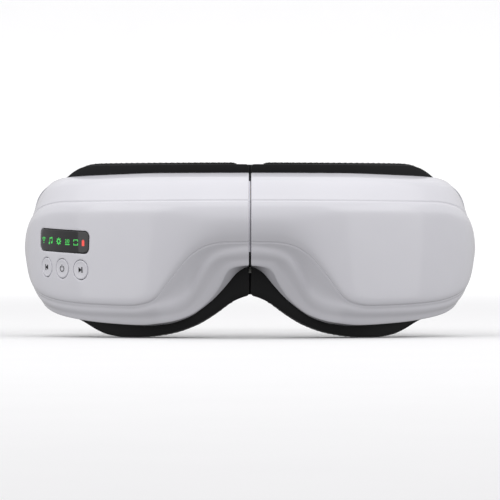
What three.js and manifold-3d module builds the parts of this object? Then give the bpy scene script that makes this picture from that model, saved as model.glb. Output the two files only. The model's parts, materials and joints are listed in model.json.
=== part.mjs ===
// Folding eye massager mask. Two glossy shell halves meet at a seam over the nose and fold on a
// hinge behind it, so that the face pads close on each other. Each half is a shell, a back frame,
// a face cushion ring, and a massage pad that an airbag pushes towards the eye. The left half
// (-X, the wearer's right) holds the display, three buttons and the main board, and the right
// half holds the battery, the air pump and its valve. An elastic strap joins the two temples.
// Millimetres, +Z up. The white front faces -Y and the wearer's face is on the +Y side.
import * as THREE from "three";
import { mergeVertices } from "three/addons/utils/BufferGeometryUtils.js";
import Module from "manifold-3d";

const wasm = await Module();
wasm.setup();

// ---- driving dimensions -------------------------------------------------------------------
const halfWidth = 105; // seam to temple, across
const wrapDepth = 80; // front of the mask to the end of the temple, front to back
const shellTop = 34.8; // top edge of the shell above the display's level line
const wall = 2.2; // shell wall
const seamGap = 1.0; // between the two shells at the nose
const fitGap = 0.3; // between pieces that meet
const frameThick = 2.3; // back frame plate
const cushionStart = 6.5; // the two cushions stop this far from the seam, for the fold
const padTravel = 4; // how far an airbag pushes its massage pad

const hingeBack = 32; // hinge axis behind the front of the mask
const pinRadius = 1.5;
const pinClearance = 0.09;
const knuckleRadius = 3;
const hingeBottom = -2;
const hingeDrop = 2.2; // top of the hinge below the shell's upper crease
const knuckleGap = 0.4;

const windowLength = 34.4; // display window, along the shell
const windowHeight = 9.8;
const windowThick = 1.4;
const controlLean = 0.05; // the display and the button row climb this much per mm towards the temple
const buttonRadius = 4.3;
const buttonGap = 3.4; // between one button and the next
const buttonSpacing = 3.3; // between the display window and the buttons under it
const buttonTravel = 0.6;

const strapWidth = 26;
const strapThick = 1.6;
const strapPinRadius = 1.5;
const strapBack = 155; // rearmost point of the strap loop
const strapStraight = 25; // each end of the strap runs straight this far before it curves

const portLength = 11.4; // recess for the charging plug
const portWidth = 6.6;
const socketLength = 8.9;
const socketWidth = 3.2;
const socketDepth = 6.5;

const screwRadius = 1.1;
const screwHead = 2.2;
const screwHeadHeight = 1.3;
const shellScrewLength = 8;
const hingeScrewLength = 5.5;
const screwSeat = 0.1; // under each screw head
const counterbore = 0.6; // each shell screw's head sits this deep in the back frame

// The outline tables below were drawn on a half mask of this arc length and this shell top.
const drawnArc = 146;
const drawnTop = 34.8;

// ---- small geometry helpers ---------------------------------------------------------------

// Smooth curve through [station, value] points that never overshoots them. Mirrored about 0.
function curveThrough(points) {
  const full = [...points.slice(1).reverse().map(([s, v]) => [-s, v]), ...points];
  const slopes = full.slice(1).map(([s, v], i) => (v - full[i][1]) / (s - full[i][0]));
  const tangents = full.map((_, i) => {
    const before = slopes[i - 1];
    const after = slopes[i];
    if (before === undefined) return after;
    if (after === undefined) return before;
    return before * after <= 0 ? 0 : (2 * before * after) / (before + after);
  });
  return (s) => {
    const i = Math.min(Math.max(full.findIndex(([at]) => at > s) - 1, 0), full.length - 2);
    const at = s >= full[full.length - 1][0] ? full.length - 2 : i;
    const [s0, v0] = full[at];
    const [s1, v1] = full[at + 1];
    const span = s1 - s0;
    const t = Math.min(Math.max((s - s0) / span, 0), 1);
    return (
      v0 * (1 + 2 * t) * (1 - t) ** 2 +
      tangents[at] * span * t * (1 - t) ** 2 +
      v1 * t * t * (3 - 2 * t) +
      tangents[at + 1] * span * t * t * (t - 1)
    );
  };
}

function closedGeometry(points, faces) {
  const origin = new THREE.Vector3();
  let sixVolumes = 0;
  for (const [a, b, c] of faces) {
    sixVolumes += points[a].clone().sub(origin).dot(points[b].clone().cross(points[c]));
  }
  const outward = sixVolumes > 0 ? faces : faces.map(([a, b, c]) => [a, c, b]);
  const geometry = new THREE.BufferGeometry();
  geometry.setAttribute("position", new THREE.Float32BufferAttribute(points.flatMap((p) => p.toArray()), 3));
  geometry.setIndex(outward.flat());
  return geometry;
}

// Skin over a row of closed rings that all have the same number of points, with both ends capped.
function loft(rings) {
  const count = rings[0].length;
  const points = rings.flat();
  const faces = [];
  for (let i = 0; i < rings.length - 1; i++) {
    for (let j = 0; j < count; j++) {
      const a = i * count + j;
      const b = i * count + ((j + 1) % count);
      faces.push([a, b, b + count], [a, b + count, a + count]);
    }
  }
  for (const end of [0, rings.length - 1]) {
    const middle = rings[end].reduce((sum, p) => sum.add(p), new THREE.Vector3()).divideScalar(count);
    const hub = points.push(middle) - 1;
    for (let j = 0; j < count; j++) {
      const a = end * count + j;
      const b = end * count + ((j + 1) % count);
      faces.push(end === 0 ? [hub, b, a] : [hub, a, b]);
    }
  }
  return closedGeometry(points, faces);
}

function solidOf(geometry) {
  const loose = geometry.index ? geometry.toNonIndexed() : geometry;
  const bare = new THREE.BufferGeometry().setAttribute("position", loose.getAttribute("position").clone());
  const merged = mergeVertices(bare, 1e-4);
  return new wasm.Manifold(
    new wasm.Mesh({
      numProp: 3,
      vertProperties: merged.attributes.position.array,
      triVerts: new Uint32Array(merged.index.array),
    }),
  );
}

function geometryOf(solid) {
  const { vertProperties, triVerts } = solid.getMesh();
  const geometry = new THREE.BufferGeometry();
  geometry.setAttribute("position", new THREE.BufferAttribute(new Float32Array(vertProperties), 3));
  geometry.setIndex(new THREE.BufferAttribute(new Uint32Array(triVerts), 1));
  return geometry;
}

function cut(from, ...cutters) {
  return geometryOf(cutters.reduce((left, cutter) => left.subtract(solidOf(cutter)), solidOf(from)));
}

function join(...pieces) {
  return geometryOf(pieces.slice(1).reduce((sum, piece) => sum.add(solidOf(piece)), solidOf(pieces[0])));
}

function common(a, b) {
  return geometryOf(solidOf(a).intersect(solidOf(b)));
}

function range(from, to, steps) {
  return Array.from({ length: steps + 1 }, (_, i) => from + ((to - from) * i) / steps);
}

const lerp = THREE.MathUtils.lerp;

// ---- the plan curve: a quarter ellipse from the seam to the temple, then straight back -------
const planSteps = 240;
const planTable = [{ s: 0, angle: 0 }];
for (let i = 1; i <= planSteps; i++) {
  const step = Math.PI / 2 / planSteps;
  const middle = (i - 0.5) * step;
  const length = Math.hypot(halfWidth * Math.cos(middle), wrapDepth * Math.sin(middle)) * step;
  planTable.push({ s: planTable[i - 1].s + length, angle: i * step });
}
const planLength = planTable[planSteps].s;

// Where station s lies in plan, and how far the mask has turned there from facing forwards.
function planAt(s) {
  const onCurve = Math.min(s, planLength);
  const next = Math.max(planTable.findIndex((row) => row.s >= onCurve - 1e-9), 1);
  const before = planTable[next - 1];
  const after = planTable[next];
  const angle = lerp(before.angle, after.angle, (onCurve - before.s) / (after.s - before.s));
  const turn = Math.atan2(wrapDepth * Math.sin(angle), halfWidth * Math.cos(angle));
  return {
    x: halfWidth * Math.sin(angle),
    y: wrapDepth * (1 - Math.cos(angle)) + (s - onCurve),
    turn,
  };
}

// The point at station s, a depth d behind the front surface, at height z. side is 1 or -1.
function spot(s, d, z, side) {
  const { x, y, turn } = planAt(s);
  return new THREE.Vector3(side * (x - d * Math.sin(turn)), y + d * Math.cos(turn), z);
}

// Turns and moves a geometry so that its local X runs along the mask and its local Y inwards.
function atSpot(geometry, s, d, z, side) {
  const { turn } = planAt(s);
  return geometry
    .clone()
    .rotateZ(side * turn)
    .translate(...spot(s, d, z, side).toArray());
}

// Stations and heights on this mask, from the drawn ones.
const stretch = planLength / drawnArc;
const lift = shellTop / drawnTop;

function outline(points) {
  return curveThrough(points.map(([s, z]) => [s * stretch, z * lift]));
}

function depths(points) {
  return curveThrough(points.map(([s, d]) => [s * stretch, d]));
}

// ---- shell form: key lines along the half mask, from the seam (0) to the temple (144) -------
const shellEnd = 144 * stretch;
const topRim = outline([
  [0, 34.8], [45, 34.8], [81, 34.1], [107, 33.4], [121, 31.6], [131.5, 27.5], [139.5, 21.5], [144, 15.5],
]);
const upperCrease = outline([
  [0, 22.2], [96.5, 21.8], [114.5, 20], [128.5, 16.5], [144, 9],
]);
const lowerCrease = outline([
  [0, 3.35], [12, 3.2], [19, 2], [26, -1.5], [32, -7.2], [36.5, -12.8], [41, -18.5], [44, -22],
  [49, -24.2], [56, -25.2], [74.5, -24.8], [95.5, -23.6], [121, -19.5], [134, -14.5], [144, -8],
]);
const ridge = outline([
  [0, 1.4], [11, 0], [18.2, -2.8], [22.6, -7], [27, -13.3], [30.6, -18.3], [37.5, -22.6], [45.5, -24],
  [50, -25.4], [56, -26.4], [74.5, -26], [95.5, -24.9], [121, -20.9], [144, -8.6],
]);
const valley = outline([
  [0, -3.5], [12.7, -4.2], [17.3, -6.3], [21, -11.2], [24.8, -16.9], [29.4, -23.2], [35.8, -27.4],
  [43.5, -28.8], [56, -29.3], [74.5, -29.2], [95.5, -28], [121, -24], [144, -9.4],
]);
const lowerEdge = outline([
  [0, -7], [5.6, -7.4], [9.6, -8.3], [11.9, -10.2], [13.3, -13.4], [17.3, -18.8], [24, -25], [31, -29.3],
  [42, -32.6], [54, -33.7], [74.5, -32.9], [95.5, -31], [121, -26.8], [144, -10.1],
]);
const bottomRim = outline([
  [0, -7.4], [6, -9.6], [12, -15.4], [18, -21], [25, -26], [33, -30.4], [44, -33.4], [56, -34.3],
  [66.5, -34], [81, -32.9], [101.5, -31.3], [116.5, -28.6], [129.5, -23], [138.5, -16.5], [144, -10.6],
]);
const rimDepth = depths([[0, 21], [40, 20.5], [65.5, 17.5], [91, 14.5], [117.5, 11], [144, 7]]);
const ridgeDepth = depths([
  [0, 5.5], [12, 6.4], [18, 7.3], [22, 8.7], [26, 10.7], [30, 12.1], [34, 11.1], [38, 8.6], [42, 5.4],
  [46, 3.5], [60.5, 3.5], [121, 3.7], [144, 3.1],
]);
const valleyDepth = depths([
  [0, 8], [12, 8.5], [18, 9.6], [22, 12], [26, 14.2], [30, 15.3], [34, 14.1], [38, 11.4], [42, 8.1],
  [46, 6], [60.5, 5.1], [121, 5.3], [144, 3.5],
]);
const edgeDepth = depths([
  [0, 10.3], [6, 10.7], [12, 12.5], [18, 15.6], [22, 16.6], [26, 17], [30, 16.6], [34, 15.4], [38, 13.3],
  [42, 10.7], [46, 8.7], [60.5, 7.9], [121, 7.1], [144, 4],
]);
const noseDip = depths([[0, 1], [12, 0.9], [22, 0.55], [34, 0.2], [46, 0], [144, 0]]); // the face rounds under over the nose
const creaseDepth = 2.7;

// Face cushion outline, and the eye opening in it.
const cushionEnd = 147 * stretch;
const padTop = outline([
  [0, 39.5], [88, 39.5], [96, 38.9], [103, 37], [109, 34.4], [114, 32.3], [121, 30.6], [131.5, 26.6], [139.5, 20.8],
  [144, 16.5], [147, 13.5],
]);
const padBottom = outline([
  [0, -20.6], [9, -23.1], [19, -28.8], [31, -34.3], [46, -38.1], [60.5, -39.5], [69.5, -39.5], [80, -38.4],
  [87, -36.4], [93, -34], [99, -31.9], [107, -30.5], [116.5, -28.2], [129.5, -22.8], [138.5, -16.4], [144, -12], [147, -9.5],
]);
const padThick = depths([
  [0, 9.5], [6.5, 11], [12, 12.4], [20, 14], [30, 15], [60.5, 15], [81, 14], [101.5, 12.5], [123, 11], [147, 9.5],
]);
const eyeNear = 15 * stretch;
const eyeFar = 97.5 * stretch;
const eyeTop = outline([
  [15, 8], [18, 17], [24, 23.5], [34, 26.5], [55, 27.5], [75.5, 26], [89, 20.5], [95.5, 12], [97.5, 4],
]);
const eyeBottom = outline([
  [15, 2], [19, -5], [25, -12.5], [32, -18.5], [42, -23], [55, -25.5], [70.5, -25], [85, -20], [93.5, -10], [97.5, -2],
]);

// ---- shell halves -----------------------------------------------------------------------------

// The shell's section at station s: three smooth stretches that meet at the two creases. Each key
// moves inwards by inset, along its own lean from straight back.
function shellProfile(s, inset, steps) {
  const rim = rimDepth(s);
  const [high, low] = [upperCrease(s), lowerCrease(s)];
  const faceTop = high - 7.5 * lift;
  const faceLow = low + 3.6 * lift;
  const dip = noseDip(s);
  const key = (d, z, lean) => {
    const angle = THREE.MathUtils.degToRad(lean);
    return new THREE.Vector2(d + inset * Math.cos(angle), z - inset * Math.sin(angle));
  };
  const upper = [
    key(rim, topRim(s), 70),
    key(lerp(creaseDepth, rim, 0.5), lerp(high, topRim(s), 0.7), 60),
    key(creaseDepth, high, 50),
  ];
  const face = [
    upper[2],
    key(1, high - 3.2 * lift, 25),
    key(0.15, faceTop, 5),
    key(0.25 + 0.3 * dip, (faceTop + faceLow) / 2, 0),
    key(1.2 + 0.7 * dip, faceLow, -10 - 10 * dip),
    key(creaseDepth + 1.4 * dip, low, -35),
  ];
  const lower = [
    face[5],
    key(ridgeDepth(s), ridge(s), -35),
    key(valleyDepth(s), valley(s), -40),
    key(edgeDepth(s), lowerEdge(s), -60),
    key(rim, bottomRim(s), -75),
  ];
  const drawn = (keys, i) => new THREE.SplineCurve(keys).getPoints(steps[i]);
  return [...drawn(upper, 0), ...drawn(face, 1).slice(1), ...drawn(lower, 2).slice(1)];
}

const shellStations = [4, 8, 10, 12, 14, 17, 20, 24, 28, 33, 38, 43, 49, 56, 66, 78, 91, 103, 115, 125, 133, 139];

// The shell's outer skin, or with an inset its hollow, which runs out through the back.
function shellSkin(side) {
  const inside = shellStations.map((s) => s * stretch);
  return loft([seamGap / 2, ...inside, shellEnd].map((s) =>
    shellProfile(s, 0, [3, 7, 8]).map(({ x, y }) => spot(s, x, y, side))));
}

function shellHollow(side) {
  const [from, to] = [seamGap / 2 + wall, shellEnd - wall];
  const inside = shellStations.filter((_, i) => i % 2).map((s) => s * stretch).filter((s) => s > from + 1 && s < to - 1);
  return loft([from, ...inside, to].map((s) => {
    const profile = shellProfile(s, wall, [2, 4, 5]);
    const back = rimDepth(s) + 6;
    const ends = [profile.at(-1), profile[0]].map(({ y }) => new THREE.Vector2(back, y));
    return [...profile, ...ends].map(({ x, y }) => spot(s, x, y, side));
  }));
}

const screwSpots = [
  { s: 24 * stretch, z: 27 * lift, front: 8.8 },
  { s: 105.5 * stretch, z: 24.5 * lift, front: 6 },
  { s: 58 * stretch, z: -27 * lift, front: 6 },
  { s: 112 * stretch, z: -21.5 * lift, front: 4.6 },
];

function roundAlongDepth(radius, from, to, sides = 12) {
  return new THREE.CylinderGeometry(radius, radius, to - from, sides).translate(0, (from + to) / 2, 0);
}

function bossAt({ s, z, front }, side) {
  return atSpot(roundAlongDepth(screwRadius + 1.6, front, rimDepth(s) - fitGap, 10), s, 0, z, side);
}

function pilotAt({ s, z }, side) {
  const tip = frameBack(s) - counterbore + screwSeat - shellScrewLength;
  return atSpot(roundAlongDepth(screwRadius + 0.25, tip - 0.5, rimDepth(s) + 4, 8), s, 0, z, side);
}

const controlStation = 94.6 * stretch;
const capFlange = wall + 2.4; // depth of the flange that keeps a button cap in
const capFlangeRadius = buttonRadius + 0.6;
const capEnd = capFlange + 1.9;
const buttonPitch = 2 * buttonRadius + buttonGap;
const buttonDrop = windowHeight / 2 + buttonSpacing + buttonRadius;
const controlMiddle = (upperCrease(controlStation) + lowerCrease(controlStation)) / 2 - 0.9 * lift;
const displayHeight = controlMiddle + (buttonDrop + buttonRadius - windowHeight / 2) / 2;
const buttonNames = ["next", "power", "previous"];

function controlLine(s) {
  return displayHeight + controlLean * (s - controlStation);
}

function buttonSpot(index) {
  const s = controlStation + (index - 1) * buttonPitch;
  return { s, z: controlLine(s) - buttonDrop };
}

// A plate bent to the mask, with its corners cut off. grow widens it all round.
function bentPlate(s, zAt, length, height, corner, front, back, side, grow = 0) {
  const half = length / 2 + grow;
  const tall = height / 2 + grow;
  const stations = [-half, -half + 0.3 * corner, -half + corner, ...range(-half + corner, half - corner, 6).slice(1), half - 0.3 * corner, half];
  const rings = stations.map((along, i) => {
    const fromEnd = Math.min(i, stations.length - 1 - i);
    const z = tall - corner * [1, 0.3, 0][Math.min(fromEnd, 2)];
    const at = s + along;
    return [[front, z], [front, -z], [back, -z], [back, z]].map(([d, dz]) => spot(at, d, zAt(at) + dz, side));
  });
  return loft(rings);
}

const windowFront = 0.25;
const lipInset = 1.2;
const lipThick = 1.6;
const lipTop = 31 * lift;
const lipBottom = -1 * lift;

function displayWindow(grow, back) {
  const front = grow ? -2 : windowFront;
  return bentPlate(controlStation, controlLine, windowLength, windowHeight, 2.5, front, back, -1, grow);
}

// Charging plug recess in the underside of the left shell, with the socket above it.
const port = { s: 99 * stretch, d: 8.5, floor: -24.4 * lift };

function block(length, depth, height) {
  return new THREE.BoxGeometry(length, depth, height);
}

// A lip on the left shell's end wall that stands behind the seam and hides what is inside.
function seamLip() {
  const [front, back] = [lipInset, lipInset + lipThick].map((inset) =>
    shellProfile(seamGap / 2, inset, [3, 7, 8]).filter(({ y }) => y < lipTop && y > lipBottom));
  const from = -seamGap / 2 - wall / 2;
  return new THREE.ExtrudeGeometry(new THREE.Shape([...front, ...back.reverse()]), {
    depth: seamGap / 2 - fitGap - from,
    bevelEnabled: false,
  })
    .applyMatrix4(new THREE.Matrix4().makeBasis(
      new THREE.Vector3(0, 1, 0), new THREE.Vector3(0, 0, 1), new THREE.Vector3(1, 0, 0)))
    .translate(from, 0, 0);
}

function shellHalf(side) {
  const outer = shellSkin(side);
  let shell = cut(outer, shellHollow(side));
  for (const screw of screwSpots) {
    shell = join(shell, common(bossAt(screw, side), outer));
  }
  if (side < 0) {
    shell = join(shell, seamLip());
    const housing = atSpot(block(portLength + 3.2, portWidth + 2.6, 16), port.s, port.d, port.floor, side);
    const recess = atSpot(block(portLength, portWidth, 20), port.s, port.d, port.floor - 10, side);
    const hole = atSpot(block(socketLength + 2 * fitGap, socketWidth + 2 * fitGap, 30), port.s, port.d, port.floor, side);
    shell = cut(join(shell, common(housing, outer)), recess, hole, displayWindow(fitGap, wall + 4));
    buttonNames.forEach((_, i) => {
      const { s, z } = buttonSpot(i);
      const hole = roundAlongDepth(buttonRadius + fitGap, -3, wall + 3, 20);
      const flangeRoom = roundAlongDepth(capFlangeRadius + fitGap, capFlange - fitGap, capFlange + 5, 16);
      shell = cut(shell, atSpot(hole, s, 0, z, side), atSpot(flangeRoom, s, 0, z, side));
    });
  }
  return cut(shell, ...screwSpots.map((screw) => pilotAt(screw, side)));
}

// ---- back frame, cushion, airbag and massage pad --------------------------------------------------
const frameFront = (s) => rimDepth(s) + fitGap;
const frameBack = (s) => frameFront(s) + frameThick;
const cushionFront = (s) => frameBack(s) + fitGap;
const cushionBack = (s) => cushionFront(s) + padThick(s);

const strapHeight = 2.5 * lift; // middle of the strap
const strapPin = { s: cushionEnd + 5.5, d: frameFront(shellEnd) + frameThick / 2 };
const earThick = 2.6;
const earInner = strapWidth / 2 + fitGap + 0.2;

const hingeTop = upperCrease(0) - hingeDrop;
const hingeScrews = [hingeBottom + 3.5, hingeTop - 3.5].map((z) => ({ x: 10.5, z }));
const ribbon = { z: upperCrease(0) + 3.8 * lift, width: 7 * lift, thick: 0.5 };
const pumpTubeHole = { s: 22.5 * stretch, z: 10 * lift };

function upright(points, bottom, top) {
  const shape = new THREE.Shape(points.map(([x, y]) => new THREE.Vector2(x, y)));
  return new THREE.ExtrudeGeometry(shape, { depth: top - bottom, bevelEnabled: false }).translate(0, 0, bottom);
}

function pillar(x, y, radius, bottom, top, sides = 16) {
  return new THREE.CylinderGeometry(radius, radius, top - bottom, sides)
    .rotateX(Math.PI / 2)
    .translate(x, y, (top + bottom) / 2);
}

const backStations = [12, 19, 26, 34, 46, 60, 69, 81, 93, 105.5, 116.5, 127.5, 137, 144].map((s) => s * stretch);

function backFrame(side) {
  const plate = loft(
    [seamGap / 2 + 0.1, cushionStart, ...backStations, cushionEnd + 1.5].map((s) => {
      const shown = Math.min(s, shellEnd);
      return [
        [frameFront(shown), padTop(s) - 0.8], [frameFront(shown), padBottom(s)],
        [frameBack(shown), padBottom(s)], [frameBack(shown), padTop(s) - 0.8],
      ].map(([d, z]) => spot(s, d, z, side));
    }),
  );
  const earStart = cushionEnd + 0.4;
  const earLength = strapPin.s + 3.2 - earStart;
  const bracketTall = 2 * (earInner + earThick);
  const bracket = atSpot(block(1.6, frameThick, bracketTall), earStart + 0.8, strapPin.d, strapHeight, side);
  const ears = [-1, 1].map((end) => {
    const z = strapHeight + end * (earInner + earThick / 2);
    return atSpot(block(earLength, 5, earThick), earStart + earLength / 2, strapPin.d, z, side);
  });
  const bosses = hingeScrews.map(({ x, z }) =>
    roundAlongDepth(2.4, rimDepth(0) - 3.5, rimDepth(0) + 1).translate(side * x, 0, z));
  const seat = block(leafEnd - 6, 2, hingeTop - hingeBottom)
    .translate((side * (leafEnd + 6)) / 2, leafFront - fitGap - 1, (hingeTop + hingeBottom) / 2);
  const pin = spot(strapPin.s, strapPin.d, 0, side);
  return cut(
    join(plate, seat, bracket, ...ears, ...bosses),
    pillar(pin.x, pin.y, strapPinRadius + 0.1, -30, 30),
    ...screwSpots.map(({ s, z }) => atSpot(roundAlongDepth(screwRadius + 0.2, 0, 40, 8), s, 0, z, side)),
    ...screwSpots.map(({ s, z }) =>
      atSpot(roundAlongDepth(screwHead + fitGap, frameBack(s) - counterbore, frameBack(s) + 3), s, 0, z, side)),
    ...hingeScrews.map(({ x, z }) => roundAlongDepth(screwRadius + 0.1, 0, 40).translate(side * x, 0, z)),
    block(3.4, 14, ribbon.width + 1).translate(side * 7.3, rimDepth(0) + 1, ribbon.z),
    ...(side > 0 ? [atSpot(roundAlongDepth(2.1, 0, 40), pumpTubeHole.s, 0, pumpTubeHole.z, side)] : []),
  );
}

// The eye opening's outline drawn in by inset, as [station, low, high] rows.
function eyeRows(inset) {
  const middle = (eyeNear + eyeFar) / 2;
  const half = (eyeFar - eyeNear) / 2;
  const centre = lift;
  const shrinkAlong = (half - inset) / half;
  const shrinkUp = (26 * lift - inset) / (26 * lift);
  return [0, 0.03, 0.1, 0.2, 0.32, 0.45, 0.6, 0.75, 0.88, 0.96, 1].map((t) => {
    const s = lerp(eyeNear, eyeFar, t);
    return [
      middle + (s - middle) * shrinkAlong,
      centre + (eyeBottom(s) - centre) * shrinkUp,
      centre + (eyeTop(s) - centre) * shrinkUp,
    ];
  });
}

function eyePlate(inset, front, back, side) {
  return loft(
    eyeRows(inset).map(([s, low, high]) =>
      [[front(s), high], [front(s), low], [back(s), low], [back(s), high]].map(([d, z]) => spot(s, d, z, side))),
  );
}

function faceCushion(side) {
  const rings = [cushionStart, ...backStations, cushionEnd].map((s) => {
    const [front, back, low, high] = [cushionFront(s), cushionBack(s), padBottom(s), padTop(s)];
    const round = Math.min(5, (back - front) / 2);
    return [
      [front, high - 1], [front, low], [back - round, low], [back - 0.3 * round, low + 0.5 * round],
      [back, low + 1.4 * round], [back, high - 1.4 * round], [back - 0.3 * round, high - 0.5 * round],
      [back - round, high],
    ].map(([d, z]) => spot(s, d, z, side));
  });
  const eyeHole = eyePlate(0, (s) => cushionFront(s) - 4, (s) => cushionBack(s) + 6, side);
  const hingePocket = block(18.5, 12, 45).translate(side * 9.25, cushionFront(0) - 6 + 5, 10);
  const heads = screwSpots.map(({ s, z }) =>
    atSpot(roundAlongDepth(screwHead + 0.5, frameFront(s), frameBack(s) + screwHeadHeight + 0.8), s, 0, z, side));
  const tubeChannel = block(20, 9, 5).translate(side * 14, cushionFront(0) + 3.5, linkTubeHeight);
  return cut(loft(rings), eyeHole, hingePocket, tubeChannel, ...heads);
}

const airbagThick = 2.6;
const airbagInset = 3.5;
const filmInset = 3;
const padInset = 3; // the massage pad's clearance all round in the cushion's eye opening
const filmThick = 0.4;
const padPlate = 2.8;
const airbagFront = (s) => frameBack(s) + fitGap;
const airbagBack = (s) => airbagFront(s) + airbagThick;
const filmFront = (s) => airbagBack(s) + fitGap;
const filmBack = (s) => filmFront(s) + filmThick;
const massageFront = (s) => filmBack(s) + fitGap;
const massageBack = (s) => massageFront(s) + padPlate;
const padMiddle = 56 * stretch; // where the massage pad's sliding direction is taken

const massageNodes = range(0, 9, 9).map((i) => {
  const angle = (i / 10) * 2 * Math.PI;
  return { s: padMiddle + 27 * stretch * Math.cos(angle), z: 1 + 16.5 * lift * Math.sin(angle) };
});
const nodeRadius = 3.4;
const nodeHeight = 2.2;

function massagePad(side) {
  const plate = eyePlate(padInset, massageFront, massageBack, side);
  const domes = massageNodes.map(({ s, z }) => {
    const dome = new THREE.CylinderGeometry(1.8, nodeRadius, nodeHeight + 1, 8).translate(0, nodeHeight / 2 - 0.5, 0);
    return atSpot(dome, s, massageBack(s), z, side);
  });
  return join(plate, ...domes);
}

// ---- hinge ------------------------------------------------------------------------------------
const leafEnd = 14.6; // the leaf's plate ends this far from the seam
const leafFront = spot(leafEnd + 3.2, frameBack(leafEnd), 0, 1).y + fitGap;
const leafThick = 1.5;
const knuckleSplit = (hingeTop - hingeBottom - 2 * knuckleGap) / 3;
const knuckleSpans = [
  [hingeBottom, hingeBottom + knuckleSplit],
  [hingeBottom + knuckleSplit + knuckleGap, hingeTop - knuckleSplit - knuckleGap],
  [hingeTop - knuckleSplit, hingeTop],
];

function hingeLeaf(side) {
  const spans = side < 0 ? [knuckleSpans[0], knuckleSpans[2]] : [knuckleSpans[1]];
  const plate = block(leafEnd - 4, leafThick, hingeTop - hingeBottom)
    .translate((side * (leafEnd + 4)) / 2, leafFront + leafThick / 2, (hingeTop + hingeBottom) / 2);
  const arms = spans.map(([bottom, top]) => {
    const outlinePoints = [
      [4, leafFront], [6.5, leafFront], [6.5, leafFront + leafThick], [2.4, hingeBack + 0.8], [0, hingeBack], [1, hingeBack - 2.6],
    ].map(([x, y]) => [side * x, y]);
    return upright(side > 0 ? outlinePoints : outlinePoints.reverse(), bottom, top);
  });
  const knuckles = spans.map(([bottom, top]) => pillar(0, hingeBack, knuckleRadius, bottom, top));
  return cut(
    join(plate, ...arms, ...knuckles),
    pillar(0, hingeBack, pinRadius + pinClearance, hingeBottom - 2, hingeTop + 2),
    ...hingeScrews.map(({ x, z }) => roundAlongDepth(screwRadius + 0.2, 0, 60).translate(side * x, 0, z)),
  );
}

function hingePin() {
  const head = pillar(0, hingeBack, pinRadius + 0.8, hingeTop + fitGap, hingeTop + 1.4);
  return join(pillar(0, hingeBack, pinRadius, hingeBottom - 0.6, hingeTop + 1), head);
}

// A screw with its head's seat at the origin, the shank towards -Y.
function screw(length) {
  return join(roundAlongDepth(screwHead, 0, screwHeadHeight, 10), roundAlongDepth(screwRadius, -length, 0.5, 6));
}

// ---- strap -----------------------------------------------------------------------------------
const ringRadius = strapPinRadius + fitGap + strapThick / 2;
const pinSpot = spot(strapPin.s, strapPin.d, 0, 1);
const strapHalf = pinSpot.x + ringRadius; // the strap's middle line, at each end
const strapTurn = pinSpot.y + strapStraight; // where the ends start to curve

// Middle line of the strap in plan, from the left pin round the back to the right pin.
function strapLine() {
  const bend = range(0, Math.PI, 22).map((a) => [-strapHalf * Math.cos(a), strapTurn + (strapBack - strapThick / 2 - strapTurn) * Math.sin(a)]);
  return [[-strapHalf, pinSpot.y], ...bend, [strapHalf, pinSpot.y]].map(([x, y]) => new THREE.Vector2(x, y));
}

// A band of the strap's thickness along a line in plan, offset to the right of it.
function band(line, offset, thick, bottom, top) {
  const sideOf = (amount) =>
    line.map((p, i) => {
      const ahead = line[Math.min(i + 1, line.length - 1)];
      const behind = line[Math.max(i - 1, 0)];
      const along = ahead.clone().sub(behind).normalize();
      return [p.x + along.y * amount, p.y - along.x * amount];
    });
  const points = [...sideOf(offset + thick / 2), ...sideOf(offset - thick / 2).reverse()];
  return upright(points, bottom, top);
}

function ringRound(x, y, inner, outer, bottom, top) {
  return cut(pillar(x, y, outer, bottom, top, 20), pillar(x, y, inner, bottom - 1, top + 1, 20));
}

const foldedBack = 6; // how many points of the strap line lie under the folded-back end

function elasticStrap() {
  const [bottom, top] = [strapHeight - strapWidth / 2, strapHeight + strapWidth / 2];
  const line = strapLine();
  const inner = ringRadius - strapThick / 2;
  const outer = ringRadius + strapThick / 2;
  const tail = line.slice(-foldedBack, -1);
  const returning = [
    new THREE.Vector2(pinSpot.x - ringRadius, pinSpot.y),
    new THREE.Vector2(pinSpot.x - ringRadius + 0.2, pinSpot.y + 3),
    new THREE.Vector2(strapHalf - strapThick + 0.1, pinSpot.y + 12),
    new THREE.Vector2(strapHalf - strapThick + 0.1, strapTurn),
  ];
  return join(
    band(line, 0, strapThick, bottom, top),
    ringRound(-pinSpot.x, pinSpot.y, inner, outer, bottom, top),
    ringRound(pinSpot.x, pinSpot.y, inner, outer, bottom, top),
    band(returning, 0, strapThick, bottom, top),
    band(tail, strapThick - 0.1, strapThick, bottom, top),
  );
}

const keeper = { length: 11, wall: 1.8, y: strapTurn - 4 };

function strapKeeper() {
  const innerWide = 2 * strapThick + 2 * fitGap + 0.4;
  const innerTall = strapWidth + 2 * fitGap;
  const middle = strapHalf - strapThick / 2;
  const body = block(innerWide + 2 * keeper.wall, keeper.length, innerTall + 2 * keeper.wall);
  const hole = block(innerWide, keeper.length + 2, innerTall);
  return cut(body, hole).translate(middle, keeper.y, strapHeight);
}

// ---- tubes and the ribbon between the halves ----------------------------------------------------
const linkTubeHeight = -9 * lift;
const tubeRadius = 1.3;

function tube(points, radius, steps) {
  const section = new THREE.Shape().absarc(0, 0, radius, 0, 2 * Math.PI);
  const path = new THREE.CatmullRomCurve3(points);
  const flat = new THREE.ExtrudeGeometry(section, { steps, curveSegments: 4, extrudePath: path, bevelEnabled: false });
  return geometryOf(solidOf(flat));
}

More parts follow.
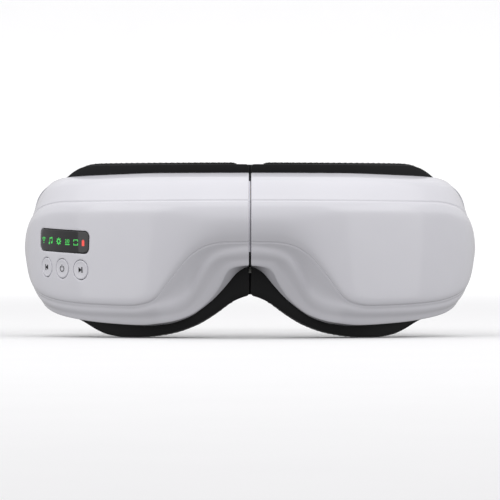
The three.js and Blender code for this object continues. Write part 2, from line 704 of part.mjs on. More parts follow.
// Link between the two airbags, across the hinge line below the knuckles.
function linkTube() {
  const rows = eyeRows(airbagInset);
  const lower = rows.findIndex(([, low]) => low <= linkTubeHeight);
  const [above, below] = [rows[lower - 1], rows[lower]];
  const edge = lerp(above[0], below[0], (above[1] - linkTubeHeight) / (above[1] - below[1]));
  const end = spot(edge, (airbagFront(edge) + airbagBack(edge)) / 2, linkTubeHeight, 1);
  const half = [
    new THREE.Vector3(end.x - tubeRadius - fitGap, end.y, end.z),
    new THREE.Vector3((end.x + 6) / 2, end.y + 0.5, end.z),
    new THREE.Vector3(5, hingeBack - 3, end.z),
  ];
  const mirrored = half.map((p) => new THREE.Vector3(-p.x, p.y, p.z)).reverse();
  return tube([...half, new THREE.Vector3(0, hingeBack - 1.6, linkTubeHeight), ...mirrored], tubeRadius, 14);
}

// From the pump's nozzle down and back through the frame to the airbag.
function pumpTube() {
  const { s, z } = pumpTubeHole;
  const fromPump = [fitGap, 3].map((gap) =>
    new THREE.Vector3(nozzleEnd - gap, 0, 0)
      .applyAxisAngle(new THREE.Vector3(0, 0, 1), planAt(pumpStation).turn)
      .add(spot(pumpStation, pumpDepth, pumpHeight, 1)));
  const toAirbag = [
    spot(s - 1.8, 15.5, z + 3.4, 1),
    spot(s - 0.8, 18.5, z + 0.7, 1),
    spot(s, 21, z, 1),
    spot(s, airbagFront(s) - fitGap - 0.1, z, 1),
  ];
  return tube([...fromPump, ...toAirbag], tubeRadius, 12);
}

function ribbonCable() {
  const half = [[14, 16.6], [10.4, 17.2], [7.6, 19.6], [6.9, 24.5], [4.4, 29.4]];
  const line = [...half.map(([x, y]) => [-x, y]), [0, 31.4], ...half.reverse()].map(([x, y]) => new THREE.Vector2(x, y));
  return band(line, 0, ribbon.thick, ribbon.z - ribbon.width / 2, ribbon.z + ribbon.width / 2);
}

// ---- controls --------------------------------------------------------------------------------
const switchFront = capEnd + buttonTravel + 0.2;
const switchBack = switchFront + 2.1;

function buttonCap() {
  const cap = roundAlongDepth(buttonRadius, 0.05, capFlange + 0.4, 20);
  const flange = roundAlongDepth(capFlangeRadius, capFlange, capFlange + 0.8, 20);
  const stem = roundAlongDepth(1.2, capFlange + 0.4, capEnd, 8);
  return join(cap, flange, stem);
}

function tactSwitch() {
  const body = block(4.2, 1.5, 4.2).translate(0, switchBack - 0.75, 0);
  return join(body, roundAlongDepth(1, switchFront, switchBack - 1, 8));
}

function keyBoard() {
  const front = switchBack + fitGap;
  return bentPlate(controlStation, (s) => controlLine(s) - buttonDrop, 3 * buttonPitch, 7.6, 1, front, front + 0.6, -1);
}

function displayBoard() {
  return join(block(27, 1.2, 9), block(24, 1.2, 6).translate(0, -0.9, 0));
}

function mainBoard() {
  return join(
    block(41, 1.6, 24 * lift),
    block(14, 2.2, 11).translate(-10, -1.5, 4),
    block(8, 1.8, 8).translate(8, -1.4, -5),
    block(6, 4.5, 5).translate(15, -2.6, 6),
    block(9, 2.4, 5).translate(-12, -1.6, -7),
  );
}

function speaker() {
  return join(roundAlongDepth(6.5, 0, 2.6, 20), roundAlongDepth(4.2, 2, 5, 16));
}

// Metal socket with its mouth down, hollow, with a tongue.
function chargingSocket() {
  const shell = block(socketLength, socketWidth, socketDepth);
  const inside = block(socketLength - 0.8, socketWidth - 0.8, socketDepth).translate(0, 0, -0.8);
  const tongue = block(socketLength - 2.4, 0.7, socketDepth - 1.2).translate(0, 0, 0.5);
  return join(cut(shell, inside), tongue);
}

// ---- power, air and vibration --------------------------------------------------------------------
const pumpRadius = 6.2 * lift;
const pumpHeight = 16.4 * lift;
const pumpStation = 40 * stretch;
const pumpDepth = wall + 10.4;
const nozzleEnd = -13;
const batteryHeight = 25 * lift;

function battery() {
  const [long, deep, tall] = [40, 7, batteryHeight];
  const corner = 1.6;
  const shape = new THREE.Shape();
  shape.moveTo(-long / 2 + corner, -deep / 2);
  shape.lineTo(long / 2 - corner, -deep / 2);
  shape.lineTo(long / 2, 0);
  shape.lineTo(long / 2 - corner, deep / 2);
  shape.lineTo(-long / 2 + corner, deep / 2);
  shape.lineTo(-long / 2, 0);
  return new THREE.ExtrudeGeometry(shape, { depth: tall, bevelEnabled: false }).translate(0, 0, -tall / 2);
}

function alongMask(radius, from, to, sides = 16) {
  return new THREE.CylinderGeometry(radius, radius, to - from, sides).rotateZ(-Math.PI / 2).translate((from + to) / 2, 0, 0);
}

function pumpMotor() {
  return join(alongMask(pumpRadius, 0, 22), alongMask(2, 21, 23.5, 10));
}

function pumpHead() {
  return join(alongMask(pumpRadius + 0.2, -11.5, -fitGap), alongMask(1.3, nozzleEnd, -11, 10));
}

function releaseValve() {
  return join(block(10, 8.5, 9 * lift), alongMask(1.4, -7.5, -4.5, 10));
}

const motorStation = 12 * stretch;
const motorDepth = 11;
const motorBottom = 3 * lift;
const motorTop = motorBottom + 11;

function vibrationMotor() {
  return join(pillar(0, 0, 3.5, motorBottom, motorTop), pillar(0, 0, 0.6, motorTop - 1, motorTop + 4.6, 8));
}

// Half disc on the motor's shaft.
function eccentricWeight() {
  const disc = pillar(0, 0, 4.2, motorTop + 0.6, motorTop + 4, 20);
  const away = block(12, 6, 8).translate(0, 4.2, motorTop + 2);
  return cut(disc, away, pillar(0, 0, 0.66, motorTop - 2, motorTop + 6, 8));
}

// ---- materials -----------------------------------------------------------------------------------
function finish(color, roughness, metalness = 0) {
  return new THREE.MeshStandardMaterial({ color, roughness, metalness });
}

const finishes = {
  shell: finish("#e4e3ea", 0.12),
  cap: finish("#e0dfe6", 0.2),
  frame: finish("#121213", 0.55),
  cushion: finish("#0e0e0f", 0.7),
  fabric: finish("#161617", 0.9),
  silicone: finish("#1b1b1d", 0.6),
  window: finish("#070708", 0.08),
  board: finish("#1d5a37", 0.5),
  chip: finish("#23242a", 0.5),
  foil: finish("#b9bcc2", 0.35, 0.6),
  steel: finish("#b4b6ba", 0.3, 1),
  tube: finish("#dcdcd6", 0.4),
  film: finish("#b5722c", 0.45),
  airbag: finish("#c9cdd1", 0.35),
};

// ---- assembly ------------------------------------------------------------------------------------
const mask = new THREE.Group();

function add(name, geometry, material) {
  const piece = new THREE.Mesh(geometry, material);
  piece.name = name;
  mask.add(piece);
  return piece;
}

// Adds a piece whose local X runs along the mask and local Y inwards, at a station, depth and height.
function addAt(name, geometry, material, s, d, z, side) {
  const piece = add(name, geometry, material);
  piece.position.copy(spot(s, d, z, side));
  piece.rotation.z = side * planAt(s).turn;
  return piece;
}

for (const [word, side] of [["left", -1], ["right", 1]]) {
  add(`shell_${word}`, shellHalf(side), finishes.shell);
  add(`back_frame_${word}`, backFrame(side), finishes.frame);
  add(`face_cushion_${word}`, faceCushion(side), finishes.cushion);
  add(`airbag_${word}`, eyePlate(airbagInset, airbagFront, airbagBack, side), finishes.airbag);
  add(`heating_film_${word}`, eyePlate(filmInset, filmFront, filmBack, side), finishes.film);
  add(`massage_pad_${word}`, massagePad(side), finishes.silicone);
  add(`hinge_leaf_${word}`, hingeLeaf(side), finishes.steel);
  screwSpots.forEach(({ s, z }, i) => {
    addAt(`shell_screw_${word}_${i + 1}`, screw(shellScrewLength), finishes.steel, s, frameBack(s) - counterbore + screwSeat, z, side);
  });
  hingeScrews.forEach(({ x, z }, i) => {
    const piece = add(`hinge_screw_${word}_${i + 1}`, screw(hingeScrewLength), finishes.steel);
    piece.position.set(side * x, leafFront + leafThick + screwSeat, z);
  });
  addAt(`vibration_motor_${word}`, vibrationMotor(), finishes.foil, motorStation, motorDepth, 0, side);
  addAt(`eccentric_weight_${word}`, eccentricWeight(), finishes.steel, motorStation, motorDepth, 0, side);
  const pin = spot(strapPin.s, strapPin.d, 0, side);
  const pinEnd = earInner + earThick;
  add(`strap_pin_${word}`, pillar(pin.x, pin.y, strapPinRadius, strapHeight - pinEnd, strapHeight + pinEnd), finishes.steel);
}

add("hinge_pin", hingePin(), finishes.steel);
add("bridge_gusset", block(9.4, 1.2, 59.4 * lift).translate(0, hingeBack + knuckleRadius + 0.9, 9.3 * lift), finishes.fabric);
add("elastic_strap", elasticStrap(), finishes.fabric);
add("strap_keeper", strapKeeper(), finishes.frame);
add("air_link_tube", linkTube(), finishes.tube);
add("pump_tube", pumpTube(), finishes.tube);
add("ribbon_cable", ribbonCable(), finishes.film);

add("display_window", displayWindow(0, windowFront + windowThick), finishes.window);
addAt("display_board", displayBoard(), finishes.board, controlStation, wall + 4, displayHeight, -1);
addAt("main_board", mainBoard(), finishes.board, 54.5 * stretch, wall + 12, -0.8 * lift, -1);
addAt("speaker", speaker(), finishes.chip, 52 * stretch, wall + 8.3, 17.6 * lift, -1);
addAt("charging_socket", chargingSocket(), finishes.steel, port.s, port.d, port.floor + socketDepth / 2 + 0.2, -1);
add("key_board", keyBoard(), finishes.board);
buttonNames.forEach((word, i) => {
  const { s, z } = buttonSpot(i);
  addAt(`button_${word}`, buttonCap(), finishes.cap, s, 0, z, -1);
  addAt(`tact_switch_${word}`, tactSwitch(), finishes.chip, s, 0, z, -1);
});

addAt("battery", battery(), finishes.foil, 60.5 * stretch, wall + 10.6, -4.5 * lift, 1);
addAt("pump_motor", pumpMotor(), finishes.foil, pumpStation, pumpDepth, pumpHeight, 1);
addAt("pump_head", pumpHead(), finishes.chip, pumpStation, pumpDepth, pumpHeight, 1);
addAt("release_valve", releaseValve(), finishes.chip, 78 * stretch, wall + 7.8, 15.5 * lift, 1);

// The part's origin is the middle of its footprint, at the height of what it stands on.
const extent = new THREE.Box3().setFromObject(mask);
const middle = extent.getCenter(new THREE.Vector3());
mask.position.set(-middle.x, -middle.y, -extent.min.z);

const part = new THREE.Group();
part.add(mask);

export default part;
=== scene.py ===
import json
import math

import bmesh
import bpy
import numpy as np
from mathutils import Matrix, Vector


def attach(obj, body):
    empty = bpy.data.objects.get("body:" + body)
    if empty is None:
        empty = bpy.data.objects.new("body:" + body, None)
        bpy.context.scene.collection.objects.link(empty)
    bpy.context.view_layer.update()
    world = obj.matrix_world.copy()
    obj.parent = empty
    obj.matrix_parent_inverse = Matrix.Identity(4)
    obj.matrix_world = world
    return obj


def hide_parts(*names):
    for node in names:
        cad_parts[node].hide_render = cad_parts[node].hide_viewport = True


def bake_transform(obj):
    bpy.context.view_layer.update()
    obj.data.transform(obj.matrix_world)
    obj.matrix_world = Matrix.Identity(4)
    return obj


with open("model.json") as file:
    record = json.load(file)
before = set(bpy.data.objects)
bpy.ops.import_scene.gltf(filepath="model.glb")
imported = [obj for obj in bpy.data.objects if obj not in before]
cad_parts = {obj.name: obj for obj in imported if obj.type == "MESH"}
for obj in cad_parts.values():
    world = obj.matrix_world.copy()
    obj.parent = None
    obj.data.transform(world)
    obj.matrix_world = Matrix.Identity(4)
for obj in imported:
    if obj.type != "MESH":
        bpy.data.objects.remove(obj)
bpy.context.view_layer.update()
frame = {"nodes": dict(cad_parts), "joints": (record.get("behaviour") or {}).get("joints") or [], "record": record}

# The mask is worked out in millimetres, from the seam between the two shells at the front:
# s runs along the front towards a temple, d inwards from the front surface, and z up.
mask = {
    "halfWidth": 105.0,
    "wrapDepth": 80.0,
    "seamGap": 1.0,
    "fitGap": 0.3,
    "frameThick": 2.3,
    "cushionStart": 6.5,
    "hingeBack": 32.0,
}
joints = {joint["name"]: joint for joint in frame["joints"]}
originY = joints["fold_hinge"]["pos_m"][1] * 1000 - mask["hingeBack"]
originZ = 39.5  # the lobes stand on the floor


def curveThrough(points, soften=1.2):
    # smooth curve through [station, value] points, the same on both sides of the seam
    full = [(-s, v) for s, v in reversed(points) if s > 0] + list(points)
    at = np.array([p[0] for p in full], float)
    value = np.array([p[1] for p in full], float)
    slope = np.diff(value) / np.diff(at)
    both = slope[:-1] * slope[1:]
    inner = np.where(both > 0, 2 * both / (slope[:-1] + slope[1:] + 1e-12), 0)
    tangent = np.concatenate([slope[:1], inner, slope[-1:]])
    grid = np.arange(at[0], at[-1] + 0.01, 0.25)
    i = np.clip(np.searchsorted(at, grid, side="right") - 1, 0, len(at) - 2)
    span = at[i + 1] - at[i]
    t = (grid - at[i]) / span
    table = (value[i] * (1 + 2 * t) * (1 - t) ** 2 + tangent[i] * span * t * (1 - t) ** 2
             + value[i + 1] * t * t * (3 - 2 * t) + tangent[i + 1] * span * t * t * (t - 1))
    if soften:
        table = blurred(table, soften / 0.25)
    return lambda s: np.interp(s, grid, table)


def blurred(values, sigma):
    # Gaussian blur that carries the ends on in a straight line
    reach = int(3 * sigma) + 1
    kernel = np.exp(-0.5 * (np.arange(-reach, reach + 1) / sigma) ** 2)
    kernel /= kernel.sum()
    before = 2 * values[0] - values[1:reach + 1][::-1]
    after = 2 * values[-1] - values[-reach - 1:-1][::-1]
    return np.convolve(np.concatenate([before, values, after]), kernel, "valid")


planAngles = np.linspace(0, math.pi / 2, 721)
planSteps = np.hypot(mask["halfWidth"] * np.cos(planAngles), mask["wrapDepth"] * np.sin(planAngles))
planStations = np.concatenate([[0], np.cumsum((planSteps[1:] + planSteps[:-1]) / 2 * np.diff(planAngles))])
planLength = planStations[-1]
stretch = planLength / 146


def turnAt(s):
    angle = np.interp(s, planStations, planAngles)
    return np.arctan2(mask["wrapDepth"] * np.sin(angle), mask["halfWidth"] * np.cos(angle))


def spot(s, d, z, side):
    # metres in the part's frame, for numbers or arrays
    s, d, z = np.broadcast_arrays(np.asarray(s, float), d, z)
    angle = np.interp(s, planStations, planAngles)
    turn = turnAt(s)
    x = mask["halfWidth"] * np.sin(angle) - d * np.sin(turn)
    y = mask["wrapDepth"] * (1 - np.cos(angle)) + np.maximum(s - planLength, 0) + d * np.cos(turn)
    return np.stack([side * x, y + originY, z + originZ], -1) / 1000


def inRow(x, y, z):
    # metres in the part's frame, from straight millimetres
    x, y, z = np.broadcast_arrays(np.asarray(x, float), y, z)
    return np.stack([x, y + originY, z + originZ], -1) / 1000


def keyed(points, soften=1.2):
    return curveThrough([(s * stretch, v) for s, v in points], soften)


shellEnd = 144 * stretch
topRim = keyed([(0, 34.8), (45, 34.8), (81, 34.1), (107, 33.4), (121, 31.6), (131.5, 27.5), (139.5, 21.5),
                (144, 15.5)])
upperCrease = keyed([(0, 22.2), (96.5, 21.8), (114.5, 20), (128.5, 16.5), (144, 9)])
lowerCrease = keyed([(0, 3.35), (12, 3.2), (19, 2), (26, -1.5), (32, -7.2), (36.5, -12.8), (41, -18.5),
                     (44, -22),
                     (49, -24.2), (56, -25.2), (74.5, -24.8), (95.5, -23.6), (121, -19.5), (134, -14.5),
                     (144, -8)])
ridge = keyed([(0, 1.4), (11, 0), (18.2, -2.8), (22.6, -7), (27, -13.3), (30.6, -18.3), (37.5, -22.6),
               (45.5, -24),
               (50, -25.4), (56, -26.4), (74.5, -26), (95.5, -24.9), (121, -20.9), (144, -8.6)])
valley = keyed([(0, -3.5), (12.7, -4.2), (17.3, -6.3), (21, -11.2), (24.8, -16.9), (29.4, -23.2),
                (35.8, -27.4),
                (43.5, -28.8), (56, -29.3), (74.5, -29.2), (95.5, -28), (121, -24), (144, -9.4)])
lowerEdge = keyed([(0, -7), (5.6, -7.4), (9.6, -8.3), (11.9, -10.2), (13.3, -13.4), (17.3, -18.8),
                   (24, -25),
                   (31, -29.3), (42, -32.6), (54, -33.7), (74.5, -32.9), (95.5, -31), (121, -26.8),
                   (144, -10.1)])
bottomRim = keyed([(0, -7.4), (6, -9.6), (12, -15.4), (18, -21), (25, -26), (33, -30.4), (44, -33.4),
                   (56, -34.3),
                   (66.5, -34), (81, -32.9), (101.5, -31.3), (116.5, -28.6), (129.5, -23), (138.5, -16.5),
                   (144, -10.6)])
rimDepth = keyed([(0, 21), (40, 20.5), (65.5, 17.5), (91, 14.5), (117.5, 11), (144, 7)])
# the face rounds under over the nose
noseDip = keyed([(0, 1), (12, 0.9), (22, 0.55), (34, 0.2), (46, 0), (144, 0)])
creaseDepth = 2.7

cushionEnd = 147 * stretch
padTop = keyed([(0, 39.5), (88, 39.5), (96, 38.9), (103, 37), (109, 34.4), (114, 32.3), (121, 30.6),
                (131.5, 26.6),
                (139.5, 20.8), (144, 16.5), (147, 13.5)])
padBottom = keyed([(0, -20.6), (9, -23.1), (19, -28.8), (31, -34.3), (46, -38.1), (60.5, -39.5),
                   (69.5, -39.5),
                   (80, -38.4), (87, -36.4), (93, -34), (99, -31.9), (107, -30.5), (116.5, -28.2),
                   (129.5, -22.8),
                   (138.5, -16.4), (144, -12), (147, -9.5)])
padThick = keyed([(0, 9.5), (6.5, 11), (12, 12.4), (20, 14), (30, 15), (60.5, 15), (81, 14), (101.5, 12.5),
                  (123, 11), (147, 9.5)])


def frameFront(s):
    return rimDepth(s) + mask["fitGap"]


def frameBack(s):
    return frameFront(s) + mask["frameThick"]


def cushionFront(s):
    return frameBack(s) + mask["fitGap"]


def splineThrough(keys, perSpan=28):
    # uniform Catmull-Rom curve through 2-D keys
    keys = np.array(keys, float)
    padded = np.vstack([keys[:1], keys, keys[-1:]])
    t = np.linspace(0, 1, perSpan, endpoint=False)[:, None]
    spans = []
    for p0, p1, p2, p3 in zip(padded, padded[1:], padded[2:], padded[3:]):
        v0, v1 = (p2 - p0) / 2, (p3 - p1) / 2
        spans.append((2 * p1 - 2 * p2 + v0 + v1) * t ** 3 + (-3 * p1 + 3 * p2 - 2 * v0 - v1) * t ** 2 + v0
                     * t + p1)
    return np.vstack(spans + [keys[-1:]])


def lengthsAlong(line):
    return np.concatenate([[0], np.cumsum(np.hypot(*np.diff(line, axis=0).T))])


relief = {
    # steepness of the lower band, as depth gained per mm down
    "slope": [0.85, 1.05, 0.1, 0.15, 1.15, 0.45, 0.5, 0.9],
    "ease": 0.5,
    "grooveDepth": 0.34,
    "grooveWidth": 0.42,
    "edgeRound": 1.2,
    "counts": [26, 16, 62, 16, 52,
               22],  # points from rim to crease, over it, face, crease, lower band, underside
}


def shellProfile(s, inset=0.0):
    # the shell's section at station s, as (d, z) from the top rim down to the bottom rim
    rim, high, low, dip = rimDepth(s), upperCrease(s), lowerCrease(s), noseDip(s)
    middle = (high - 7.5 + low + 3.6) / 2
    upper = splineThrough([(rim, topRim(s)), ((creaseDepth + rim) / 2, high + 0.7 * (topRim(s) - high)),
                           (creaseDepth, high)])
    face = splineThrough([(creaseDepth, high), (1, high - 3.2), (0.15, high - 7.5),
                          (0.25 + 0.3 * dip, middle),
                          (1.2 + 0.7 * dip, low + 3.6), (creaseDepth + 1.4 * dip, low)])
    a, b, c, e = low, ridge(s), valley(s), lowerEdge(s)
    down = np.array([a, a + (b - a) * 0.4, b, b + (c - b) * 0.25, c, c + (e - c) * 0.4, c + (e - c) * 0.8,
                     e])
    z = np.linspace(a, e, 160)
    steep = blurred(np.interp(-z, -down, relief["slope"]), 2.5)
    d = face[-1, 0] + np.concatenate([[0], np.cumsum((steep[1:] + steep[:-1]) / 2 * -np.diff(z))])
    d = face[-1, 0] + (d - face[-1, 0]) * min(1.0, (rim - 1.5 - face[-1, 0]) / (d[-1] - face[-1, 0]))
    lower = np.stack([d, z], 1)
    line = np.vstack([upper[:-1], face[:-1], lower,
                      [[(d[-1] + rim) / 2, (e + bottomRim(s)) / 2], [rim, bottomRim(s)]]])
    at = lengthsAlong(line)
    fine = np.linspace(0, at[-1], int(at[-1] / 0.1))
    step = fine[1]
    line = np.stack([blurred(np.interp(fine, at, line[:, k]), relief["ease"] / step) for k in (0, 1)], 1)
    marks = [at[len(upper) - 1], at[len(upper) + len(face) - 2],
             at[len(upper) + len(face) + len(lower) - 3]]
    along = np.gradient(line, axis=0)
    along /= np.hypot(*along.T)[:, None]
    inward = np.stack([-along[:, 1], along[:, 0]], 1)
    sink = np.full(len(fine), inset)
    for mark in marks[:2]:
        sink += relief["grooveDepth"] * np.exp(-((fine - mark) / relief["grooveWidth"]) ** 2)
    line = line + inward * sink[:, None]
    reach = 1.6
    stops = [0, marks[0] - reach, marks[0] + reach, marks[1] - reach, marks[1] + reach, marks[2], at[-1]]
    pick = np.concatenate([np.linspace(low, high, count, endpoint=False)
                           for low, high, count in zip(stops, stops[1:], relief["counts"])] + [[at[-1]]])
    return np.stack([np.interp(pick, fine, line[:, k]) for k in (0, 1)], 1)


def makePiece(name, vertices, faces, smooth=True):
    mesh = bpy.data.meshes.new(name)
    mesh.from_pydata([tuple(v) for v in vertices], [], [tuple(f) for f in faces])
    mesh.validate()
    piece = bpy.data.objects.new(name, mesh)
    bpy.context.scene.collection.objects.link(piece)
    if smooth:
        mesh.polygons.foreach_set("use_smooth", [True] * len(mesh.polygons))
    return piece


def gridFaces(rows, columns, closedRows=False, closedColumns=False, start=0):
    faces = []
    for i in range(rows if closedRows else rows - 1):
        for j in range(columns if closedColumns else columns - 1):
            a = start + i * columns + j
            b = start + i * columns + (j + 1) % columns
            c = start + (i + 1) % rows * columns + (j + 1) % columns
            d = start + (i + 1) % rows * columns + j
            faces.append((a, b, c, d))
    return faces


def flatEnds(rows, columns):
    # closes the ends of a grid whose rows run out along one side and back along the other
    return [(start + k, start + k + 1, start + columns - 2 - k, start + columns - 1 - k)
            for start in (0, (rows - 1) * columns) for k in range(columns // 2 - 1)]


def outward(piece):
    # faces of a closed or nearly closed piece turned to point out
    work = bmesh.new()
    work.from_mesh(piece.data)
    bmesh.ops.recalc_face_normals(work, faces=work.faces)
    work.to_mesh(piece.data)
    work.free()
    return piece


def sharpen(piece, degrees=40):
    with bpy.context.temp_override(object=piece, active_object=piece, selected_objects=[piece],
                                   selected_editable_objects=[piece]):
        bpy.ops.object.shade_smooth_by_angle(angle=math.radians(degrees))
    return piece


def dress(piece, material, body=None, replaces=()):
    piece.data.materials.clear()
    piece.data.materials.append(material)
    if body:
        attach(piece, body)
    if replaces:
        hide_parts(*replaces)
    return piece


class Wire:
    # a shader socket that Python's operators work on
    def __init__(self, graph, socket):
        self.graph = graph
        self.socket = socket

    def maths(self, operation, *values):
        return self.graph.node("ShaderNodeMath", {"operation": operation},
                               dict(enumerate(values or (self,))))

    def __add__(self, other):
        return self.maths("ADD", self, other)

    def __radd__(self, other):
        return self.maths("ADD", other, self)

    def __sub__(self, other):
        return self.maths("SUBTRACT", self, other)

    def __rsub__(self, other):
        return self.maths("SUBTRACT", other, self)

    def __mul__(self, other):
        return self.maths("MULTIPLY", self, other)

    def __rmul__(self, other):
        return self.maths("MULTIPLY", other, self)

    def __truediv__(self, other):
        return self.maths("DIVIDE", self, other)

    def __pow__(self, other):
        return self.maths("POWER", self, other)

    def ramp(self, low, high, fromLow=0.0, fromHigh=1.0):
        return self.graph.node("ShaderNodeMapRange", {"clamp": True},
                               {0: self, 1: fromLow, 2: fromHigh, 3: low, 4: high})


class Shader:
    # one material: its node tree, and the Principled shader at its end
    def __init__(self, name, **fixed):
        self.material = bpy.data.materials.new(name)
        self.material.use_nodes = True
        self.tree = self.material.node_tree
        self.surface = self.tree.nodes["Principled BSDF"]
        for key, value in fixed.items():
            socket = self.surface.inputs[spaced(key)]
            opaque = isinstance(value, tuple) and len(value) == 3 and len(socket.default_value) == 4
            socket.default_value = (*value, 1) if opaque else value

    def node(self, kind, settings=None, sockets=None, output=0):
        # settings first, since they change which sockets there are
        node = self.tree.nodes.new(kind)
        for key, value in (settings or {}).items():
            if key == "stops":
                while len(node.color_ramp.elements) < len(value):
                    node.color_ramp.elements.new(0.5)
                for element, (place, colour) in zip(node.color_ramp.elements, value):
                    element.position = place
                    element.color = (*colour, 1)
            else:
                setattr(node, key, value)
        for key, value in (sockets or {}).items():
            self.plug(node.inputs[key], value)
        return Wire(self, node.outputs[output])

    def plug(self, socket, value):
        if isinstance(value, Wire):
            self.tree.links.new(value.socket, socket)
        elif isinstance(value, tuple) and len(value) == 3 and len(socket.default_value) == 4:
            socket.default_value = (*value, 1)
        else:
            socket.default_value = value

    def set(self, **wires):
        for key, value in wires.items():
            self.plug(self.surface.inputs[spaced(key)], value)
        return self

    def place(self, scale=1.0):
        # position on the piece in millimetres, times scale
        object = self.node("ShaderNodeTexCoord", output=3)
        factor = tuple(np.array(scale) * 1000.0 * np.ones(3))
        return self.node("ShaderNodeVectorMath", {"operation": "MULTIPLY"}, {0: object, 1: factor})

    def noise(self, place, scale, detail=2.0, rough=0.5):
        return self.node("ShaderNodeTexNoise", {},
                         {"Vector": place, "Scale": scale, "Detail": detail, "Roughness": rough})

    def cells(self, place, scale, feature="F1", random=1.0):
        return self.node("ShaderNodeTexVoronoi", {"feature": feature},
                         {"Vector": place, "Scale": scale, "Randomness": random})

    def mix(self, factor, a, b):
        return self.node("ShaderNodeMix", {"data_type": "RGBA"}, {0: factor, 6: a, 7: b}, output=2)

    def bump(self, height, strength=0.3, distance=0.0001):
        return self.node("ShaderNodeBump", {},
                         {"Strength": strength, "Distance": distance, "Height": height})


def spaced(key):
    # coatWeight -> Coat Weight
    words = "".join(" " + c if c.isupper() else c for c in key.replace("IOR", "Ior"))
    return (words[0].upper() + words[1:]).replace("Ior", "IOR")


def shellGloss():
    look = {"colour": (0.80, 0.795, 0.84), "shade": (0.76, 0.755, 0.80), "roughness": (0.13, 0.19)}
    shader = Shader("glossy white shell", coatRoughness=0.04, coatIOR=1.5, specularIORLevel=0.5,
                    coatWeight=0.5)
    place = shader.place()
    cloud = shader.noise(place, 0.02, 3)
    fine = shader.noise(place, 1.6, 3)
    shader.set(baseColor=shader.mix(cloud.ramp(0, 1, 0.3, 0.7), look["colour"], look["shade"]),
               roughness=fine.ramp(*look["roughness"], 0.3, 0.7),
               normal=shader.bump(shader.noise(place, 0.35, 2), 0.05, 0.00005))
    return shader.material


def buttonGloss():
    shader = Shader("white button plastic", specularIORLevel=0.5, coatWeight=0.3, coatRoughness=0.06)
    place = shader.place()
    grain = shader.noise(place, 3.0, 3)
    shader.set(baseColor=shader.mix(grain, (0.80, 0.795, 0.84), (0.77, 0.765, 0.81)),
               roughness=grain.ramp(0.18, 0.26))
    return shader.material


def windowGloss():
    shader = Shader("black display window", specularIORLevel=0.5, coatWeight=0.6, coatRoughness=0.02)
    place = shader.place()
    smear = shader.noise(place, 0.12, 4)
    shader.set(baseColor=shader.mix(smear, (0.004, 0.004, 0.005), (0.007, 0.007, 0.008)),
               roughness=smear.ramp(0.04, 0.1))
    return shader.material


def glow(name, colour, strength):
    shader = Shader(name, emissionStrength=strength, roughness=0.4)
    place = shader.place()
    dots = shader.noise(place, 4.0, 1)
    shader.set(baseColor=colour, emissionColor=shader.mix(dots.ramp(0, 0.25), colour, (0.6, 0.8, 0.6)))
    return shader.material


def leatherette(name="black leatherette", grain=1.0):
    look = {"dark": (0.006, 0.006, 0.0065), "light": (0.016, 0.0155, 0.016), "roughness": (0.42, 0.62)}
    shader = Shader(name, specularIORLevel=0.2, sheenWeight=0.02, sheenRoughness=0.5)
    place = shader.place(grain)
    warp = shader.noise(place, 0.5, 2)
    pebbles = shader.cells(place, 1.25)
    creases = shader.cells(place, 0.55, "DISTANCE_TO_EDGE")
    cloud = shader.noise(place, 0.05, 4)
    height = pebbles.ramp(1, 0, 0.0, 0.6) * 0.6 + creases.ramp(0, 1, 0.0, 0.12) * 0.5 + warp * 0.3
    shader.set(baseColor=shader.mix(height.ramp(0, 1, 0.3, 1.3), look["dark"], look["light"]),
               roughness=(pebbles * 0.4 + cloud * 0.6).ramp(*look["roughness"], 0.2, 0.7),
               normal=shader.bump(height, 0.35, 0.00012))
    return shader.material


def thread():
    shader = Shader("black sewing thread", roughness=0.7, sheenWeight=0.3)
    place = shader.place()
    twist = shader.node("ShaderNodeTexWave", {"wave_type": "BANDS", "bands_direction": "DIAGONAL"},
                        {"Vector": place, "Scale": 3.0, "Distortion": 1.0})
    shader.set(baseColor=shader.mix(twist, (0.012, 0.012, 0.013), (0.03, 0.03, 0.032)),
               normal=shader.bump(twist, 0.5, 0.00005))
    return shader.material


def mattBlack(name="black frame plastic", colour=(0.007, 0.007, 0.0075)):
    shader = Shader(name, specularIORLevel=0.2)
    place = shader.place()
    spark = shader.noise(place, 5.0, 4, 0.7)
    shader.set(baseColor=shader.mix(spark, tuple(c * 0.8 for c in colour), tuple(c * 1.3 for c in colour)),
               roughness=spark.ramp(0.42, 0.58, 0.3, 0.7), normal=shader.bump(spark, 0.15, 0.00004))
    return shader.material


def silicone():
    shader = Shader("dark massage silicone", specularIORLevel=0.4, sheenWeight=0.12, sheenRoughness=0.4)
    place = shader.place()
    dust = shader.noise(place, 2.2, 4, 0.65)
    patch = shader.noise(place, 0.08, 3)
    shader.set(baseColor=shader.mix(patch, (0.022, 0.022, 0.025), (0.034, 0.034, 0.038)),
               roughness=(dust * 0.5 + patch * 0.5).ramp(0.5, 0.68, 0.3, 0.7),
               normal=shader.bump(dust, 0.12, 0.00005))
    return shader.material


